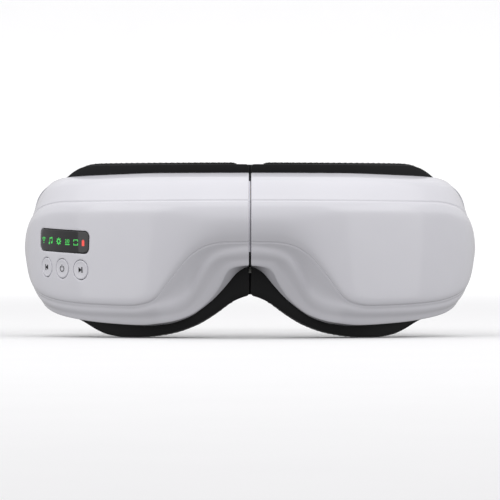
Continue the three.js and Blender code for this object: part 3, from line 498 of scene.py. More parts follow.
def elasticWeave():
    # rib and pick, from the strap's own length and width in millimetres
    shader = Shader("black woven elastic", specularIORLevel=0.3, sheenWeight=0.25, sheenRoughness=0.5)
    along = shader.node("ShaderNodeUVMap", {"uv_map": "strapMap"})
    length = shader.node("ShaderNodeSeparateXYZ", {}, {0: along})
    width = shader.node("ShaderNodeSeparateXYZ", {}, {0: along}, output=1)
    pick = (length * (2 * math.pi / 1.1)).maths("SINE")
    rib = (width * (2 * math.pi / 1.35)).maths("SINE")
    weave = (pick * rib).ramp(0, 1, -1.0, 1.0)
    fuzz = shader.noise(shader.place(), 3.5, 4, 0.7)
    height = rib.ramp(0, 1, -1, 1) * 0.5 + weave * 0.5 + fuzz * 0.2
    shader.set(baseColor=shader.mix(height.ramp(0, 1, 0.2, 1.1), (0.006, 0.006, 0.007),
                                    (0.024, 0.024, 0.026)),
               roughness=fuzz.ramp(0.75, 0.92, 0.3, 0.7), normal=shader.bump(height, 0.6, 0.0003))
    return shader.material


def bridgeFabric():
    shader = Shader("black knit bridge", specularIORLevel=0.3, sheenWeight=0.2, sheenRoughness=0.5)
    place = shader.place()
    knit = shader.cells(place, 1.6, "F1", 0.35)
    fuzz = shader.noise(place, 4.0, 3)
    height = knit.ramp(1, 0, 0, 0.6) + fuzz * 0.2
    shader.set(baseColor=shader.mix(height.ramp(0, 1, 0, 1.2), (0.006, 0.006, 0.007), (0.018, 0.018, 0.02)),
               roughness=fuzz.ramp(0.7, 0.9, 0.3, 0.7), normal=shader.bump(height, 0.5, 0.0002))
    return shader.material


def brushedSteel():
    shader = Shader("brushed steel", metallic=1.0)
    place = shader.place((1, 1, 0.06))
    lines = shader.noise(place, 6.0, 3, 0.7)
    stain = shader.noise(shader.place(), 0.2, 3)
    shader.set(baseColor=shader.mix(stain, (0.50, 0.51, 0.53), (0.60, 0.61, 0.63)),
               roughness=lines.ramp(0.24, 0.42, 0.3, 0.7),
               normal=shader.bump(lines, 0.08, 0.00003))
    return shader.material


def metalCase():
    shader = Shader("plain metal case", metallic=0.85)
    place = shader.place()
    grain = shader.noise(place, 3.0, 4)
    shader.set(baseColor=shader.mix(grain, (0.5, 0.51, 0.53), (0.66, 0.67, 0.69)),
               roughness=grain.ramp(0.3, 0.48, 0.3, 0.7))
    return shader.material


def circuitBoard():
    shader = Shader("green circuit board", specularIORLevel=0.5, coatWeight=0.3, coatRoughness=0.2)
    place = shader.place()
    tracks = shader.node("ShaderNodeTexBrick", {"offset": 0.35, "squash": 1.0},
                         {"Vector": place, "Scale": 0.35, "Mortar Size": 0.05,
                          "Color1": (0.008, 0.09, 0.03), "Color2": (0.01, 0.12, 0.04),
                          "Mortar": (0.03, 0.22, 0.08)})
    dirt = shader.noise(place, 0.6, 3)
    shader.set(baseColor=shader.mix(dirt.ramp(0, 0.3), tracks, (0.006, 0.06, 0.025)),
               roughness=dirt.ramp(0.3, 0.5, 0.3, 0.7))
    return shader.material


def darkMoulding():
    return mattBlack("dark moulded parts", (0.022, 0.022, 0.026))


def clearTube():
    shader = Shader("milky silicone tube", specularIORLevel=0.5)
    haze = shader.noise(shader.place(), 0.8, 3)
    shader.set(baseColor=shader.mix(haze, (0.62, 0.62, 0.58), (0.74, 0.74, 0.7)),
               roughness=haze.ramp(0.28, 0.42, 0.3, 0.7))
    return shader.material


def amberFilm(name):
    shader = Shader(name, specularIORLevel=0.5)
    place = shader.place()
    track = shader.node("ShaderNodeTexWave", {"wave_type": "BANDS", "bands_direction": "Z"},
                        {"Vector": place, "Scale": 0.16, "Distortion": 0.0})
    haze = shader.noise(place, 0.5, 3)
    shader.set(baseColor=shader.mix(track.ramp(0, 1, 0.75, 0.85), (0.36, 0.13, 0.02), (0.62, 0.28, 0.08)),
               roughness=haze.ramp(0.25, 0.4, 0.3, 0.7))
    return shader.material


def bladderFilm():
    shader = Shader("welded air bladder", specularIORLevel=0.5)
    place = shader.place()
    crumple = shader.noise(place, 0.22, 4, 0.6)
    shader.set(baseColor=shader.mix(crumple, (0.5, 0.52, 0.55), (0.64, 0.66, 0.69)),
               roughness=crumple.ramp(0.2, 0.38, 0.3, 0.7),
               normal=shader.bump(crumple, 0.5, 0.0005))
    return shader.material


materials = {
    "shell": shellGloss(),
    "button": buttonGloss(),
    "display": windowGloss(),
    "frame": mattBlack(),
    "leatherette": leatherette(),
    "strap_fabric": elasticWeave(),
    "bridge": bridgeFabric(),
    "silicone": silicone(),
    "bladder": bladderFilm(),
    "heating_film": amberFilm("amber heating film"),
    "flex_circuit": amberFilm("amber ribbon circuit"),
    "tube": clearTube(),
    "circuit_board": circuitBoard(),
    "dark_part": darkMoulding(),
    "metal_case": metalCase(),
    "steel": brushedSteel(),
    "thread": thread(),
}
for entry in frame["record"]["subparts"]:
    node = frame["nodes"][entry["node"]]
    node.data.materials.clear()
    node.data.materials.append(materials[entry["material_slot"]])
    sharpen(node, 35)
print("materials made")


shell = {"stations": 190, "edgeRound": 0.7, "lip": 3.0}
controls = {
    "station": 94.6 * stretch,
    "lean": 0.05,
    "windowLength": 34.4,
    "windowHeight": 9.8,
    "windowCorner": 2.5,
    "buttonRadius": 4.3,
    "buttonSpacing": 3.3,
    "buttonPitch": 12.0,
    "names": ["next", "power", "previous"],
}
controlS = controls["station"]
buttonDrop = controls["windowHeight"] / 2 + controls["buttonSpacing"] + controls["buttonRadius"]
controlMiddle = float((upperCrease(controlS) + lowerCrease(controlS)) / 2) - 0.9
displayZ = controlMiddle + (buttonDrop + controls["buttonRadius"] - controls["windowHeight"] / 2) / 2


def controlLine(s):
    return displayZ + controls["lean"] * (s - controlS)


def roundedBox(s, z, grow=0.0):
    # signed distance to the display window's outline
    tilt = math.atan(controls["lean"])
    u = (s - controlS) * math.cos(tilt) + (z - displayZ) * math.sin(tilt)
    v = -(s - controlS) * math.sin(tilt) + (z - displayZ) * math.cos(tilt)
    corner = controls["windowCorner"]
    qu = np.abs(u) - (controls["windowLength"] / 2 - corner)
    qv = np.abs(v) - (controls["windowHeight"] / 2 - corner)
    outside = np.hypot(np.maximum(qu, 0), np.maximum(qv, 0))
    distance = outside + np.minimum(np.maximum(qu, qv), 0) - corner - grow
    return distance


def buttonPlace(index):
    s = controlS + (index - 1) * controls["buttonPitch"]
    return s, float(controlLine(s)) - buttonDrop


holes = [lambda s, z: roundedBox(s, z, mask["fitGap"])]
for index in range(3):
    holeS, holeZ = buttonPlace(index)
    holes.append(lambda s, z, a=holeS,
                 b=holeZ: np.hypot(s - a, z - b) - controls["buttonRadius"] - mask["fitGap"])

stations = np.linspace(mask["seamGap"] / 2 + shell["edgeRound"], shellEnd - shell["edgeRound"],
                       shell["stations"])
profiles = [shellProfile(s) for s in stations]


def faceDepth(s, z):
    # depth of the shell's surface at a station and height
    i = int(np.clip(np.searchsorted(stations, s), 1, len(stations) - 1))
    mixed = []
    for k in (i - 1, i):
        d, zs = profiles[k][:, 0], profiles[k][:, 1]
        mixed.append(np.interp(-z, -zs, d))
    t = float(np.clip((s - stations[i - 1]) / (stations[i] - stations[i - 1]), 0, 1))
    return mixed[0] * (1 - t) + mixed[1] * t


def buildShell(word, side):
    radius = shell["edgeRound"]
    rows = [(s, profile[:, 0], profile[:, 1]) for s, profile in zip(stations, profiles)]
    arcs = np.radians([22.5, 45, 67.5, 90])

    def rounded(end, direction):
        # rows that turn the skin over the edge and down the end wall
        made = []
        for arc in arcs:
            profile = shellProfile(end, radius * (1 - math.cos(arc)))
            made.append((end + direction * radius * (1 - math.sin(arc)), profile[:, 0], profile[:, 1]))
        s, d, z = made[-1]
        back = float(rimDepth(end))
        for share in (0.1, 0.3, 0.6, 1.0):
            made.append((s, d + (back - d) * share, z))
        return made

    low = rounded(float(stations[0]) - radius, 1)
    high = rounded(float(stations[-1]) + radius, -1)
    rows = low[::-1] + rows + high
    # a lip that turns in behind each rim
    full = []
    for s, d, z in rows:
        topTurn = [(d[0] + 0.25, z[0] - 0.3), (d[0] + 0.3, z[0] - 1.0), (d[0], z[0] - 2.2),
                   (d[0] - shell["lip"], z[0] - 2.6)]
        lowTurn = [(d[-1] + 0.25, z[-1] + 0.3), (d[-1] + 0.3, z[-1] + 1.0), (d[-1], z[-1] + 2.2),
                   (d[-1] - shell["lip"], z[-1] + 2.6)]
        dd = np.concatenate([[p[0] for p in topTurn[::-1]], d, [p[0] for p in lowTurn]])
        zz = np.concatenate([[p[1] for p in topTurn[::-1]], z, [p[1] for p in lowTurn]])
        full.append((np.full(len(dd), s), dd, zz))
    s = np.array([row[0] for row in full])
    d = np.array([row[1] for row in full])
    z = np.array([row[2] for row in full])
    keep = np.ones(s.shape, int)  # 1 outside every hole, 0 on an edge, -1 inside
    owner = np.full(s.shape, -1)
    if side < 0:
        near = (s > controlS - 24) & (s < controlS + 24) & (d < 6)
        for index, hole in enumerate(holes):
            reach = 0.26
            distance = hole(s, z) - reach
            edge = near & (np.abs(distance) < 0.46)
            inside = near & (distance < 0) & ~edge
            for i, j in np.argwhere(edge):
                for _ in range(3):
                    e = 0.02
                    gs = (hole(s[i, j] + e, z[i, j]) - hole(s[i, j] - e, z[i, j])) / (2 * e)
                    gz = (hole(s[i, j], z[i, j] + e) - hole(s[i, j], z[i, j] - e)) / (2 * e)
                    away = hole(s[i, j], z[i, j]) - reach
                    s[i, j] -= away * gs
                    z[i, j] -= away * gz
                d[i, j] = faceDepth(s[i, j], z[i, j])
            keep[edge] = 0
            keep[inside] = -1
            owner[edge] = index
    points = spot(s, d, z, side).reshape(-1, 3)
    columns = s.shape[1]
    state = keep.reshape(-1)
    faces = []
    for face in gridFaces(s.shape[0], columns):
        values = [state[v] for v in face]
        if min(values) >= 0 and max(values) == 1:
            faces.append(face)
        elif min(values) < 0 and max(values) == 1:
            for k in (0, 1):
                a, b, c, e = [face[(k + m) % 4] for m in range(4)]
                if state[a] == 0 and state[c] == 0:
                    faces += [f for f in ((a, b, c),
                                          (a, c, e)) if min(state[v] for v in f) >= 0
                              and max(state[v] for v in f) == 1]
    piece = makePiece(f"shell_skin_{word}", points, faces)
    if side < 0:
        edgeHoles(piece, s.reshape(-1), z.reshape(-1), d.reshape(-1), owner.reshape(-1), side)
    outward(piece)
    return dress(piece, materials["shell"], f"{word}_half", [f"shell_{word}"])


def edgeHoles(piece, s, z, d, owner, side):
    # rounds each hole's edge and carries it through the wall
    work = bmesh.new()
    work.from_mesh(piece.data)
    work.verts.ensure_lookup_table()
    onHole = {v.index: int(owner[v.index]) for v in work.verts if owner[v.index] >= 0}
    loose = [e for e in work.edges if e.is_boundary and all(v.index in onHole for v in e.verts)]
    start = {v.index: (float(s[v.index]), float(z[v.index]), float(d[v.index]),
                       onHole[v.index]) for e in loose for v in e.verts}
    tag = work.verts.layers.int.new("start")
    for v in work.verts:
        v[tag] = v.index
    for shrink, sink in ((0.18, 0.06), (0.26, 0.24), (0.26, 1.2), (0.26, 2.4)):
        made = bmesh.ops.extrude_edge_only(work, edges=loose)["geom"]
        loose = [g for g in made if isinstance(g, bmesh.types.BMEdge) and g.is_boundary]
        for v in {v for e in loose for v in e.verts}:
            a, b, depth, index = start[v[tag]]
            hole, e = holes[index], 0.02
            gs = (hole(a + e, b) - hole(a - e, b)) / (2 * e)
            gz = (hole(a, b + e) - hole(a, b - e)) / (2 * e)
            v.co = Vector(spot(a - gs * shrink, depth + sink, b - gz * shrink, side))
    work.verts.layers.int.remove(tag)
    work.to_mesh(piece.data)
    work.free()
    piece.data.polygons.foreach_set("use_smooth", [True] * len(piece.data.polygons))


for word, side in (("left", -1), ("right", 1)):
    buildShell(word, side)
print("shells built")


def plateOver(name, centre, outline, rings, depth, side, hubs=(True, False)):
    # a plate drawn out from its centre
    # rings are (share of the outline, shrink in mm, depth behind the surface)
    out = outline - centre
    reach = np.hypot(*out.T)[:, None]
    rows = []
    for share, shrink, sink in rings:
        at = centre + out * share * (1 - shrink / reach)
        rows.append(spot(at[:, 0], depth(at[:, 0], at[:, 1]) + sink, at[:, 1], side))
    count = len(outline)
    faces = gridFaces(len(rows), count, closedColumns=True)
    points = np.concatenate(rows)
    for end, wanted in zip((0, len(rows) - 1), hubs):
        if wanted:
            ringStart = end * count
            hub = len(points)
            sink = depth(centre[:1], centre[1:])[0] + rings[end][2]
            points = np.vstack([points, spot(centre[0], sink, centre[1], side)[None]])
            faces += [(hub, ringStart + (k + 1) % count, ringStart + k) for k in range(count)]
    return outward(makePiece(name, points, faces))


def overFace(s, z):
    return np.array([faceDepth(a, b) for a, b in zip(s, z)])


def windowOutline(count=120):
    angles = np.linspace(0, 2 * math.pi, count, endpoint=False)
    radii = np.full(count, 3.0)
    for _ in range(60):
        radii -= roundedBox(controlS + radii * np.cos(angles), displayZ + radii * np.sin(angles)) * 0.8
    return np.stack([controlS + radii * np.cos(angles), displayZ + radii * np.sin(angles)], 1)


glass = plateOver("display_glass", np.array([controlS, displayZ]), windowOutline(),
                  [(share, 0, 0.1) for share in (0.25, 0.5, 0.75, 0.9)] + [(1, 0.35, 0.1), (1, 0.1, 0.16),
                                                                           (1, 0, 0.35), (1, 0, 1.6)],
                  overFace, -1)
dress(glass, materials["display"], "left_half", ["display_window"])

ring = np.linspace(0, 2 * math.pi, 72, endpoint=False)
for index, word in enumerate(controls["names"]):
    place = np.array(buttonPlace(index))
    outline = place + controls["buttonRadius"] * np.stack([np.cos(ring), np.sin(ring)], 1)
    cap = plateOver(f"cap_{word}", place, outline,
                    [(0.3, 0, 0.1), (0.6, 0, 0.06), (0.8, 0, 0.0), (1, 0.5, -0.12), (1, 0.2, -0.08),
                     (1, 0.05, 0.08), (1, 0, 0.3), (1, 0, 4.2)],
                    overFace, -1)
    dress(cap, materials["button"], f"{word}_button", [f"button_{word}"])


class Mark:
    # flat strokes and fills, u to the right and v up in millimetres, laid just over the surface
    def __init__(self, centre, height):
        self.centre = centre
        self.height = height
        self.points = []
        self.faces = []

    def stroke(self, path, width, closed=False):
        path = np.array(path, float)
        along = np.roll(path, -1, 0) - np.roll(path, 1, 0) if closed else np.gradient(path, axis=0)
        along /= np.hypot(*along.T)[:, None]
        across = np.stack([-along[:, 1], along[:, 0]], 1) * width / 2
        start = len(self.points)
        for at, off in zip(path, across):
            self.points += [at + off, at - off]
        count = len(path)
        for k in range(count if closed else count - 1):
            a, b = start + 2 * k, start + 2 * ((k + 1) % count)
            self.faces.append((a, a + 1, b + 1, b))
        return self

    def fill(self, outline):
        start = len(self.points)
        self.points += [np.array(at, float) for at in outline]
        self.faces.append(tuple(range(start, start + len(outline))))
        return self

    def disc(self, u, v, radius):
        return self.fill([(u + radius * math.cos(a),
                           v + radius * math.sin(a)) for a in np.linspace(0, 2 * math.pi, 16,
                                                                          endpoint=False)])

    def build(self, name, material, body, slot):
        at = np.array(self.points)
        s, z = self.centre[0] - at[:, 0], self.centre[1] + at[:, 1]
        piece = makePiece(name, spot(s, overFace(s, z) + self.height, z, -1), self.faces, False)
        return dress(piece, material, body)


def arc(radius, start, end, count=20, middle=(0, 0)):
    return [(middle[0] + radius * math.cos(math.radians(a)), middle[1] + radius * math.sin(math.radians(a)))
            for a in np.linspace(start, end, count)]


iconStations = {"wireless": 108.6, "music": 102.8, "setting": 96.6, "heat": 90.6, "press": 85.2,
                "battery": 80.7}


def displayIcons():
    green = glow("green display segments", (0.01, 0.42, 0.04), 0.85)
    red = glow("red display segments", (0.62, 0.01, 0.012), 0.9)

    def icon(word):
        s = iconStations[word]
        return Mark((s, float(controlLine(s)) - 0.25), 0.06)

    radio = icon("wireless").disc(0, -1.1, 0.3)
    for radius in (0.95, 1.65, 2.35):
        radio.stroke(arc(radius, 52, 128, 14, (0, -1.1)), 0.36)
    radio.build("icon_wireless", green, "left_half", "display")
    note = icon("music").disc(-1.1, -1.1, 0.55).disc(0.9, -0.8, 0.55)
    note.stroke([(-0.65, -1.0), (-0.65, 1.2)], 0.34).stroke([(1.35, -0.7), (1.35, 1.5)],
                                                            0.34).stroke([(-0.8, 1.1), (1.5, 1.4)], 0.6)
    note.build("icon_music", green, "left_half", "display")
    gear = icon("setting").stroke(arc(0.95, 0, 342, 20), 0.55, True)
    for a in range(0, 360, 45):
        gear.stroke([(1.1 * math.cos(math.radians(a)), 1.1 * math.sin(math.radians(a))),
                     (1.7 * math.cos(math.radians(a)), 1.7 * math.sin(math.radians(a)))], 0.5)
    gear.build("icon_setting", green, "left_half", "display")
    heat = icon("heat").stroke([(-1.5, -1.2), (1.5, -1.2)], 0.4)
    for u in (-1.0, 0, 1.0):
        heat.stroke([(u + 0.22 * math.sin(v * 3.6), v) for v in np.linspace(-0.7, 1.2, 12)], 0.38)
    heat.build("icon_heat", green, "left_half", "display")
    press = icon("press")
    for side in (-1, 1):
        press.stroke([(-1.4, 1.15 * side), (1.4, 1.15 * side)], 0.38)
        press.stroke([(-1.25, 1.15 * side), (-1.25, 0.35 * side)],
                     0.42).stroke([(1.25, 1.15 * side), (1.25, 0.35 * side)], 0.42)
    press.build("icon_press", green, "left_half", "display")
    battery = icon("battery").fill([(-0.75, -1.4), (0.75, -1.4), (0.75, 1.05),
                               (-0.75, 1.05)]).fill([(-0.35, 1.05), (0.35, 1.05), (0.35, 1.4),
                                                     (-0.35, 1.4)])
    battery.build("icon_battery", red, "left_half", "display")


def buttonMarks():
    ink = mattBlack("black button print", (0.012, 0.012, 0.014))

    def mark(index):
        return Mark(buttonPlace(index), -0.03)

    following = mark(0).fill([(-1.1, -1.25), (0.75, 0), (-1.1, 1.25)]).stroke([(0.95, -1.3), (0.95, 1.3)],
                                                                              0.55)
    following.build("mark_next", ink, "next_button", "button")
    power = mark(1).stroke(arc(1.3, 125, 415, 26), 0.38).stroke([(0, 0.4), (0, 1.8)], 0.4)
    power.build("mark_power", ink, "power_button", "button")
    earlier = mark(2).fill([(1.1, -1.25), (1.1, 1.25), (-0.75, 0)]).stroke([(-0.95, -1.3), (-0.95, 1.3)],
                                                                           0.55)
    earlier.build("mark_previous", ink, "previous_button", "button")


displayIcons()
buttonMarks()
print("controls built")


eyeTop = keyed([(15, 8), (18, 17), (24, 23.5), (34, 26.5), (55, 27.5), (75.5, 26), (89, 20.5), (95.5, 12),
                (97.5, 4)], 0)
eyeBottom = keyed([(15, 2), (19, -5), (25, -12.5), (32, -18.5), (42, -23), (55, -25.5), (70.5, -25),
                   (85, -20), (93.5, -10), (97.5, -2)], 0)
eyeEnds = (15 * stretch, 97.5 * stretch)


def closedOutline(low, high, top, bottom, corner=3.0, count=240):
    # (s, z) round a shape between two stations, from above its middle and on towards the temple
    ss = np.linspace(low, high, 400)
    middle = (low + high) / 2
    upper = np.stack([ss, top(ss)], 1)
    lower = np.stack([ss, bottom(ss)], 1)[::-1]
    loop = np.vstack([upper[ss >= middle], lower, upper[ss < middle]])
    loop = np.vstack([loop, loop[:1]])
    at = lengthsAlong(loop)
    fine = np.linspace(0, at[-1], 1600, endpoint=False)
    line = np.stack([np.interp(fine, at, loop[:, k]) for k in (0, 1)], 1)
    spacing = at[-1] / 1600
    reach = int(3 * corner / spacing)
    kernel = np.exp(-0.5 * (np.arange(-reach, reach + 1) * spacing / corner) ** 2)
    kernel /= kernel.sum()
    wrapped = np.vstack([line[-reach:], line, line[:reach]])
    line = np.stack([np.convolve(wrapped[:, k], kernel, "valid") for k in (0, 1)], 1)
    return line[np.linspace(0, 1600, count, endpoint=False).astype(int)]


def joined(name, pieces):
    # one mesh from several, which are dropped
    work = bmesh.new()
    for piece in pieces:
        work.from_mesh(piece.data)
        bpy.data.objects.remove(piece)
    mesh = bpy.data.meshes.new(name)
    work.to_mesh(mesh)
    work.free()
    piece = bpy.data.objects.new(name, mesh)
    bpy.context.scene.collection.objects.link(piece)
    return piece


def roundedBlock(name, low, high, place, radius=0.5):
    # a block between two corners with its edges rounded; place turns its (along, depth, height) into metres
    work = bmesh.new()
    bmesh.ops.create_cube(work, size=1)
    for v in work.verts:
        v.co = Vector([low[k] if v.co[k] < 0 else high[k] for k in range(3)])
    bmesh.ops.bevel(work, geom=work.edges[:], offset=radius, segments=3, profile=0.5, affect="EDGES")
    for v in work.verts:
        v.co = Vector(place(*v.co))
    mesh = bpy.data.meshes.new(name)
    work.to_mesh(mesh)
    work.free()
    piece = bpy.data.objects.new(name, mesh)
    bpy.context.scene.collection.objects.link(piece)
    mesh.polygons.foreach_set("use_smooth", [True] * len(mesh.polygons))
    return outward(piece)


strap = {"width": 26.0, "thick": 1.6, "pin": 1.5, "back": 155.0, "straight": 25.0, "height": 2.5}
strapPinS = cushionEnd + 5.5
strapPinD = float(frameFront(shellEnd)) + mask["frameThick"] / 2
ear = {"thick": 2.6, "inner": strap["width"] / 2 + mask["fitGap"] + 0.2}


def backFrame(word, side):
    outline = closedOutline(mask["seamGap"] / 2 + 0.1, cushionEnd + 1.5, lambda s: padTop(s) - 0.8,
                            padBottom, 0.9, 300)

    def depth(s, z):
        return frameFront(np.minimum(s, shellEnd))

    thick = mask["frameThick"]
    shares = [(share, 0) for share in (0.2, 0.4, 0.6, 0.8, 0.93)]
    rings = [(share, 0, 0) for share, _ in shares] + [(1, 0.6, 0), (1, 0.15, 0.15), (1, 0, 0.6)]
    rings += [(share, shrink, thick - sink) for share, shrink, sink in rings[::-1]]
    plate = plateOver("plate", np.array([66.0, 4.0]), outline, rings, depth, side, (True, True))
    start = cushionEnd + 0.4
    length = strapPinS + 3.2 - start

    def place(along, inward, up):
        return spot(start + along, strapPinD + inward, strap["height"] + up, side)

    tall = ear["inner"] + ear["thick"]
    parts = [plate, roundedBlock("bracket", (-0.4, -thick / 2, -tall), (1.7, thick / 2, tall), place, 0.4)]
    for end in (-1, 1):
        low, high = sorted((end * ear["inner"], end * tall))
        parts.append(roundedBlock("ear", (0, -2.5, low), (length, 2.5, high), place, 0.7))
    piece = joined(f"frame_{word}", parts)
    dress(piece, materials["frame"], f"{word}_half", [f"back_frame_{word}"])
    return sharpen(piece, 50)


cushion = {"around": 280, "across": 30, "roundness": 3.2, "pucker": 0.06, "stitch": 3.4, "pressure": 4.0,
           "puff": 1.1}


def puffed(piece, held, limit):
    # blows the cover up a little over its padding, with its glued edge held
    start = np.array([v.co for v in piece.data.vertices])
    group = piece.vertex_groups.new(name="held")
    group.add([int(k) for k in held], 1.0, "REPLACE")
    cloth = piece.modifiers.new("cover", "CLOTH")
    cloth.settings.quality = 5
    cloth.settings.mass = 0.25
    cloth.settings.tension_stiffness = cloth.settings.compression_stiffness = 12
    cloth.settings.bending_stiffness = 0.4
    cloth.settings.vertex_group_mass = "held"
    cloth.settings.use_pressure = True
    cloth.settings.uniform_pressure_force = cushion["pressure"]
    cloth.settings.effector_weights.gravity = 0
    cloth.collision_settings.use_collision = False
    cloth.point_cache.frame_start, cloth.point_cache.frame_end = 1, 20
    scene = bpy.context.scene
    for number in range(1, 21):
        scene.frame_set(number)
    graph = bpy.context.evaluated_depsgraph_get()
    end = np.array([v.co for v in piece.evaluated_get(graph).data.vertices])
    moved = end - start
    length = np.linalg.norm(moved, axis=1)[:, None]
    moved *= np.minimum(1, limit / 1000 / np.maximum(length, 1e-9))
    piece.modifiers.clear()
    scene.frame_set(1)
    piece.data.vertices.foreach_set("co", (start + moved).ravel())
    print(piece.name, "puffed by up to", round(float(np.max(length)) * 1000, 2), "mm, held to", limit)


def faceCushion(word, side):
    outer = closedOutline(mask["cushionStart"] + 0.4, cushionEnd - 0.4, padTop, padBottom, 1.6,
                          cushion["around"])
    inner = closedOutline(*eyeEnds, eyeTop, eyeBottom, 1.5, cushion["around"])
    out = np.gradient(np.vstack([outer[-1:], outer, outer[:1]]), axis=0)[1:-1]
    out = np.stack([-out[:, 1], out[:, 0]], 1) / np.hypot(*out.T)[:, None]
    at = lengthsAlong(np.vstack([outer, outer[:1]]))
    stitches = round(at[-1] / cushion["stitch"])
    shares = (1 - np.cos(np.pi * np.linspace(0, 1, cushion["across"]))) / 2
    power = cushion["roundness"]
    crown = np.maximum(0, 1 - np.abs(2 * shares - 1) ** power) ** (1 / power)
    rows = []
    for o, i, n, length in zip(outer, inner, out, at):
        wave = cushion["pucker"] * math.cos(2 * math.pi * stitches * length / at[-1])
        lift = wave * np.exp(-((shares / 0.1) ** 2)) - 0.5 * cushion["pucker"]
        s = o[0] + (i[0] - o[0]) * shares + n[0] * lift
        z = o[1] + (i[1] - o[1]) * shares + n[1] * lift
        d = cushionFront(s) + padThick(s) * (0.02 + 0.95 * crown)
        back = np.array([0.72, 0.35])
        s = np.concatenate([s, o[0] + (i[0] - o[0]) * back])
        z = np.concatenate([z, o[1] + (i[1] - o[1]) * back])
        d = np.concatenate([d, cushionFront(s[-2:])])
        rows.append(spot(s, d, z, side))
    columns = len(rows[0])
    piece = makePiece(f"cushion_{word}", np.concatenate(rows),
                      gridFaces(len(rows), columns, closedRows=True, closedColumns=True))
    outward(piece)
    column = np.arange(len(rows) * columns) % columns
    puffed(piece, np.flatnonzero((column < 2) | (column > cushion["across"] - 3)), cushion["puff"])
    dress(piece, materials["leatherette"], f"{word}_half", [f"face_cushion_{word}"])
    # stitches along the outer edge, each a short raised loop of thread
    points, faces = [], []
    for k in range(stitches):
        path = np.interp(np.linspace((k + 0.15) / stitches, (k + 0.85) / stitches, 6) * at[-1], at,
                         np.arange(len(at)))
        for m, where in enumerate(path):
            low, part = int(where) % len(outer), where % 1
            high = (low + 1) % len(outer)
            middle = outer[low] * (1 - part) + outer[high] * part
            rise = -0.12 - 0.34 * abs(m / 2.5 - 1) ** 3
            for a in np.linspace(0, 2 * math.pi, 6, endpoint=False):
                s, z = middle + out[low] * (rise + 0.26 * math.cos(a))
                points.append(spot(s, cushionFront(s) + 2.4 + 0.26 * math.sin(a), z, side))
        faces += gridFaces(6, 6, closedColumns=True, start=k * 36)
        faces += [tuple(range(k * 36 + 5, k * 36 - 1, -1)), tuple(range(k * 36 + 30, k * 36 + 36))]
    seam = outward(makePiece(f"stitches_{word}", points, faces))
    dress(seam, materials["thread"], f"{word}_half")


# front is measured from the back frame, past the airbag and the heating film
pad = {"inset": 3.0, "front": 0.3 + 2.6 + 0.3 + 0.4 + 0.3, "thick": 2.8, "nodeRadius": 3.9,
       "nodeHeight": 2.2, "middle": 56 * stretch}


def massagePad(word, side):
    outline = closedOutline(*eyeEnds, eyeTop, eyeBottom, 1.5, 220)
    middle = (eyeEnds[0] + eyeEnds[1]) / 2
    half = (eyeEnds[1] - eyeEnds[0]) / 2
    outline = np.stack([middle + (outline[:, 0] - middle) * (half - pad["inset"]) / half,
                        1 + (outline[:, 1] - 1) * (26 - pad["inset"]) / 26], 1)
    angles = np.arange(10) / 10 * 2 * math.pi
    nodes = np.stack([pad["middle"] + 27 * stretch * np.cos(angles), 1 + 16.5 * np.sin(angles)], 1)

    def depth(s, z):
        return frameBack(s) + pad["front"]

    def domed(s, z):
        away = np.min(np.hypot(s[:, None] - nodes[:, 0], z[:, None] - nodes[:, 1]), axis=1)
        dome = np.clip(1 - (away / pad["nodeRadius"]) ** 2, 0, 1)
        ripple = 0.12 * np.exp(-((away - 5.2) / 0.5) ** 2)
        rise = pad["nodeHeight"] * dome ** 0.8 * (3 - 2 * dome ** 0.8) * dome ** 0.2 * 0.98
        return depth(s, z) + pad["thick"] + rise + ripple

    out = outline - np.array([middle, 1.0])
    rows = []
    for share in np.linspace(0.03, 0.965, 48):
        at = np.array([middle, 1.0]) + out * share
        rows.append(spot(at[:, 0], domed(at[:, 0], at[:, 1]), at[:, 1], side))
    for share, sink in ((0.985, pad["thick"] - 0.12), (0.997, pad["thick"] - 0.5), (1, pad["thick"] - 1.2),
                        (1, 0.3), (0.99, 0), (0.6, 0), (0.2, 0)):
        at = np.array([middle, 1.0]) + out * share
        rows.append(spot(at[:, 0], depth(at[:, 0], at[:, 1]) + sink, at[:, 1], side))
    count = len(outline)
    points = np.vstack(rows + [spot(middle, float(depth(middle, 0)) + pad["thick"], 1, side)[None],
                               spot(middle, float(depth(middle, 0)), 1, side)[None]])
    faces = gridFaces(len(rows), count, closedColumns=True)
    last = (len(rows) - 1) * count
    for hub, start in ((len(points) - 2, 0), (len(points) - 1, last)):
        faces += [(hub, start + (k + 1) % count, start + k) for k in range(count)]
    piece = outward(makePiece(f"pad_{word}", points, faces))
    dress(piece, materials["silicone"], f"{word}_pad", [f"massage_pad_{word}"])


for word, side in (("left", -1), ("right", 1)):
    backFrame(word, side)
    faceCushion(word, side)
    massagePad(word, side)
print("frames, cushions and pads built")


ringRadius = strap["pin"] + mask["fitGap"] + strap["thick"] / 2
pinAt = spot(strapPinS, strapPinD, 0, 1) * 1000 - np.array([0, originY, originZ])
strapHalf = pinAt[0] + ringRadius
strapTurn = pinAt[1] + strap["straight"]


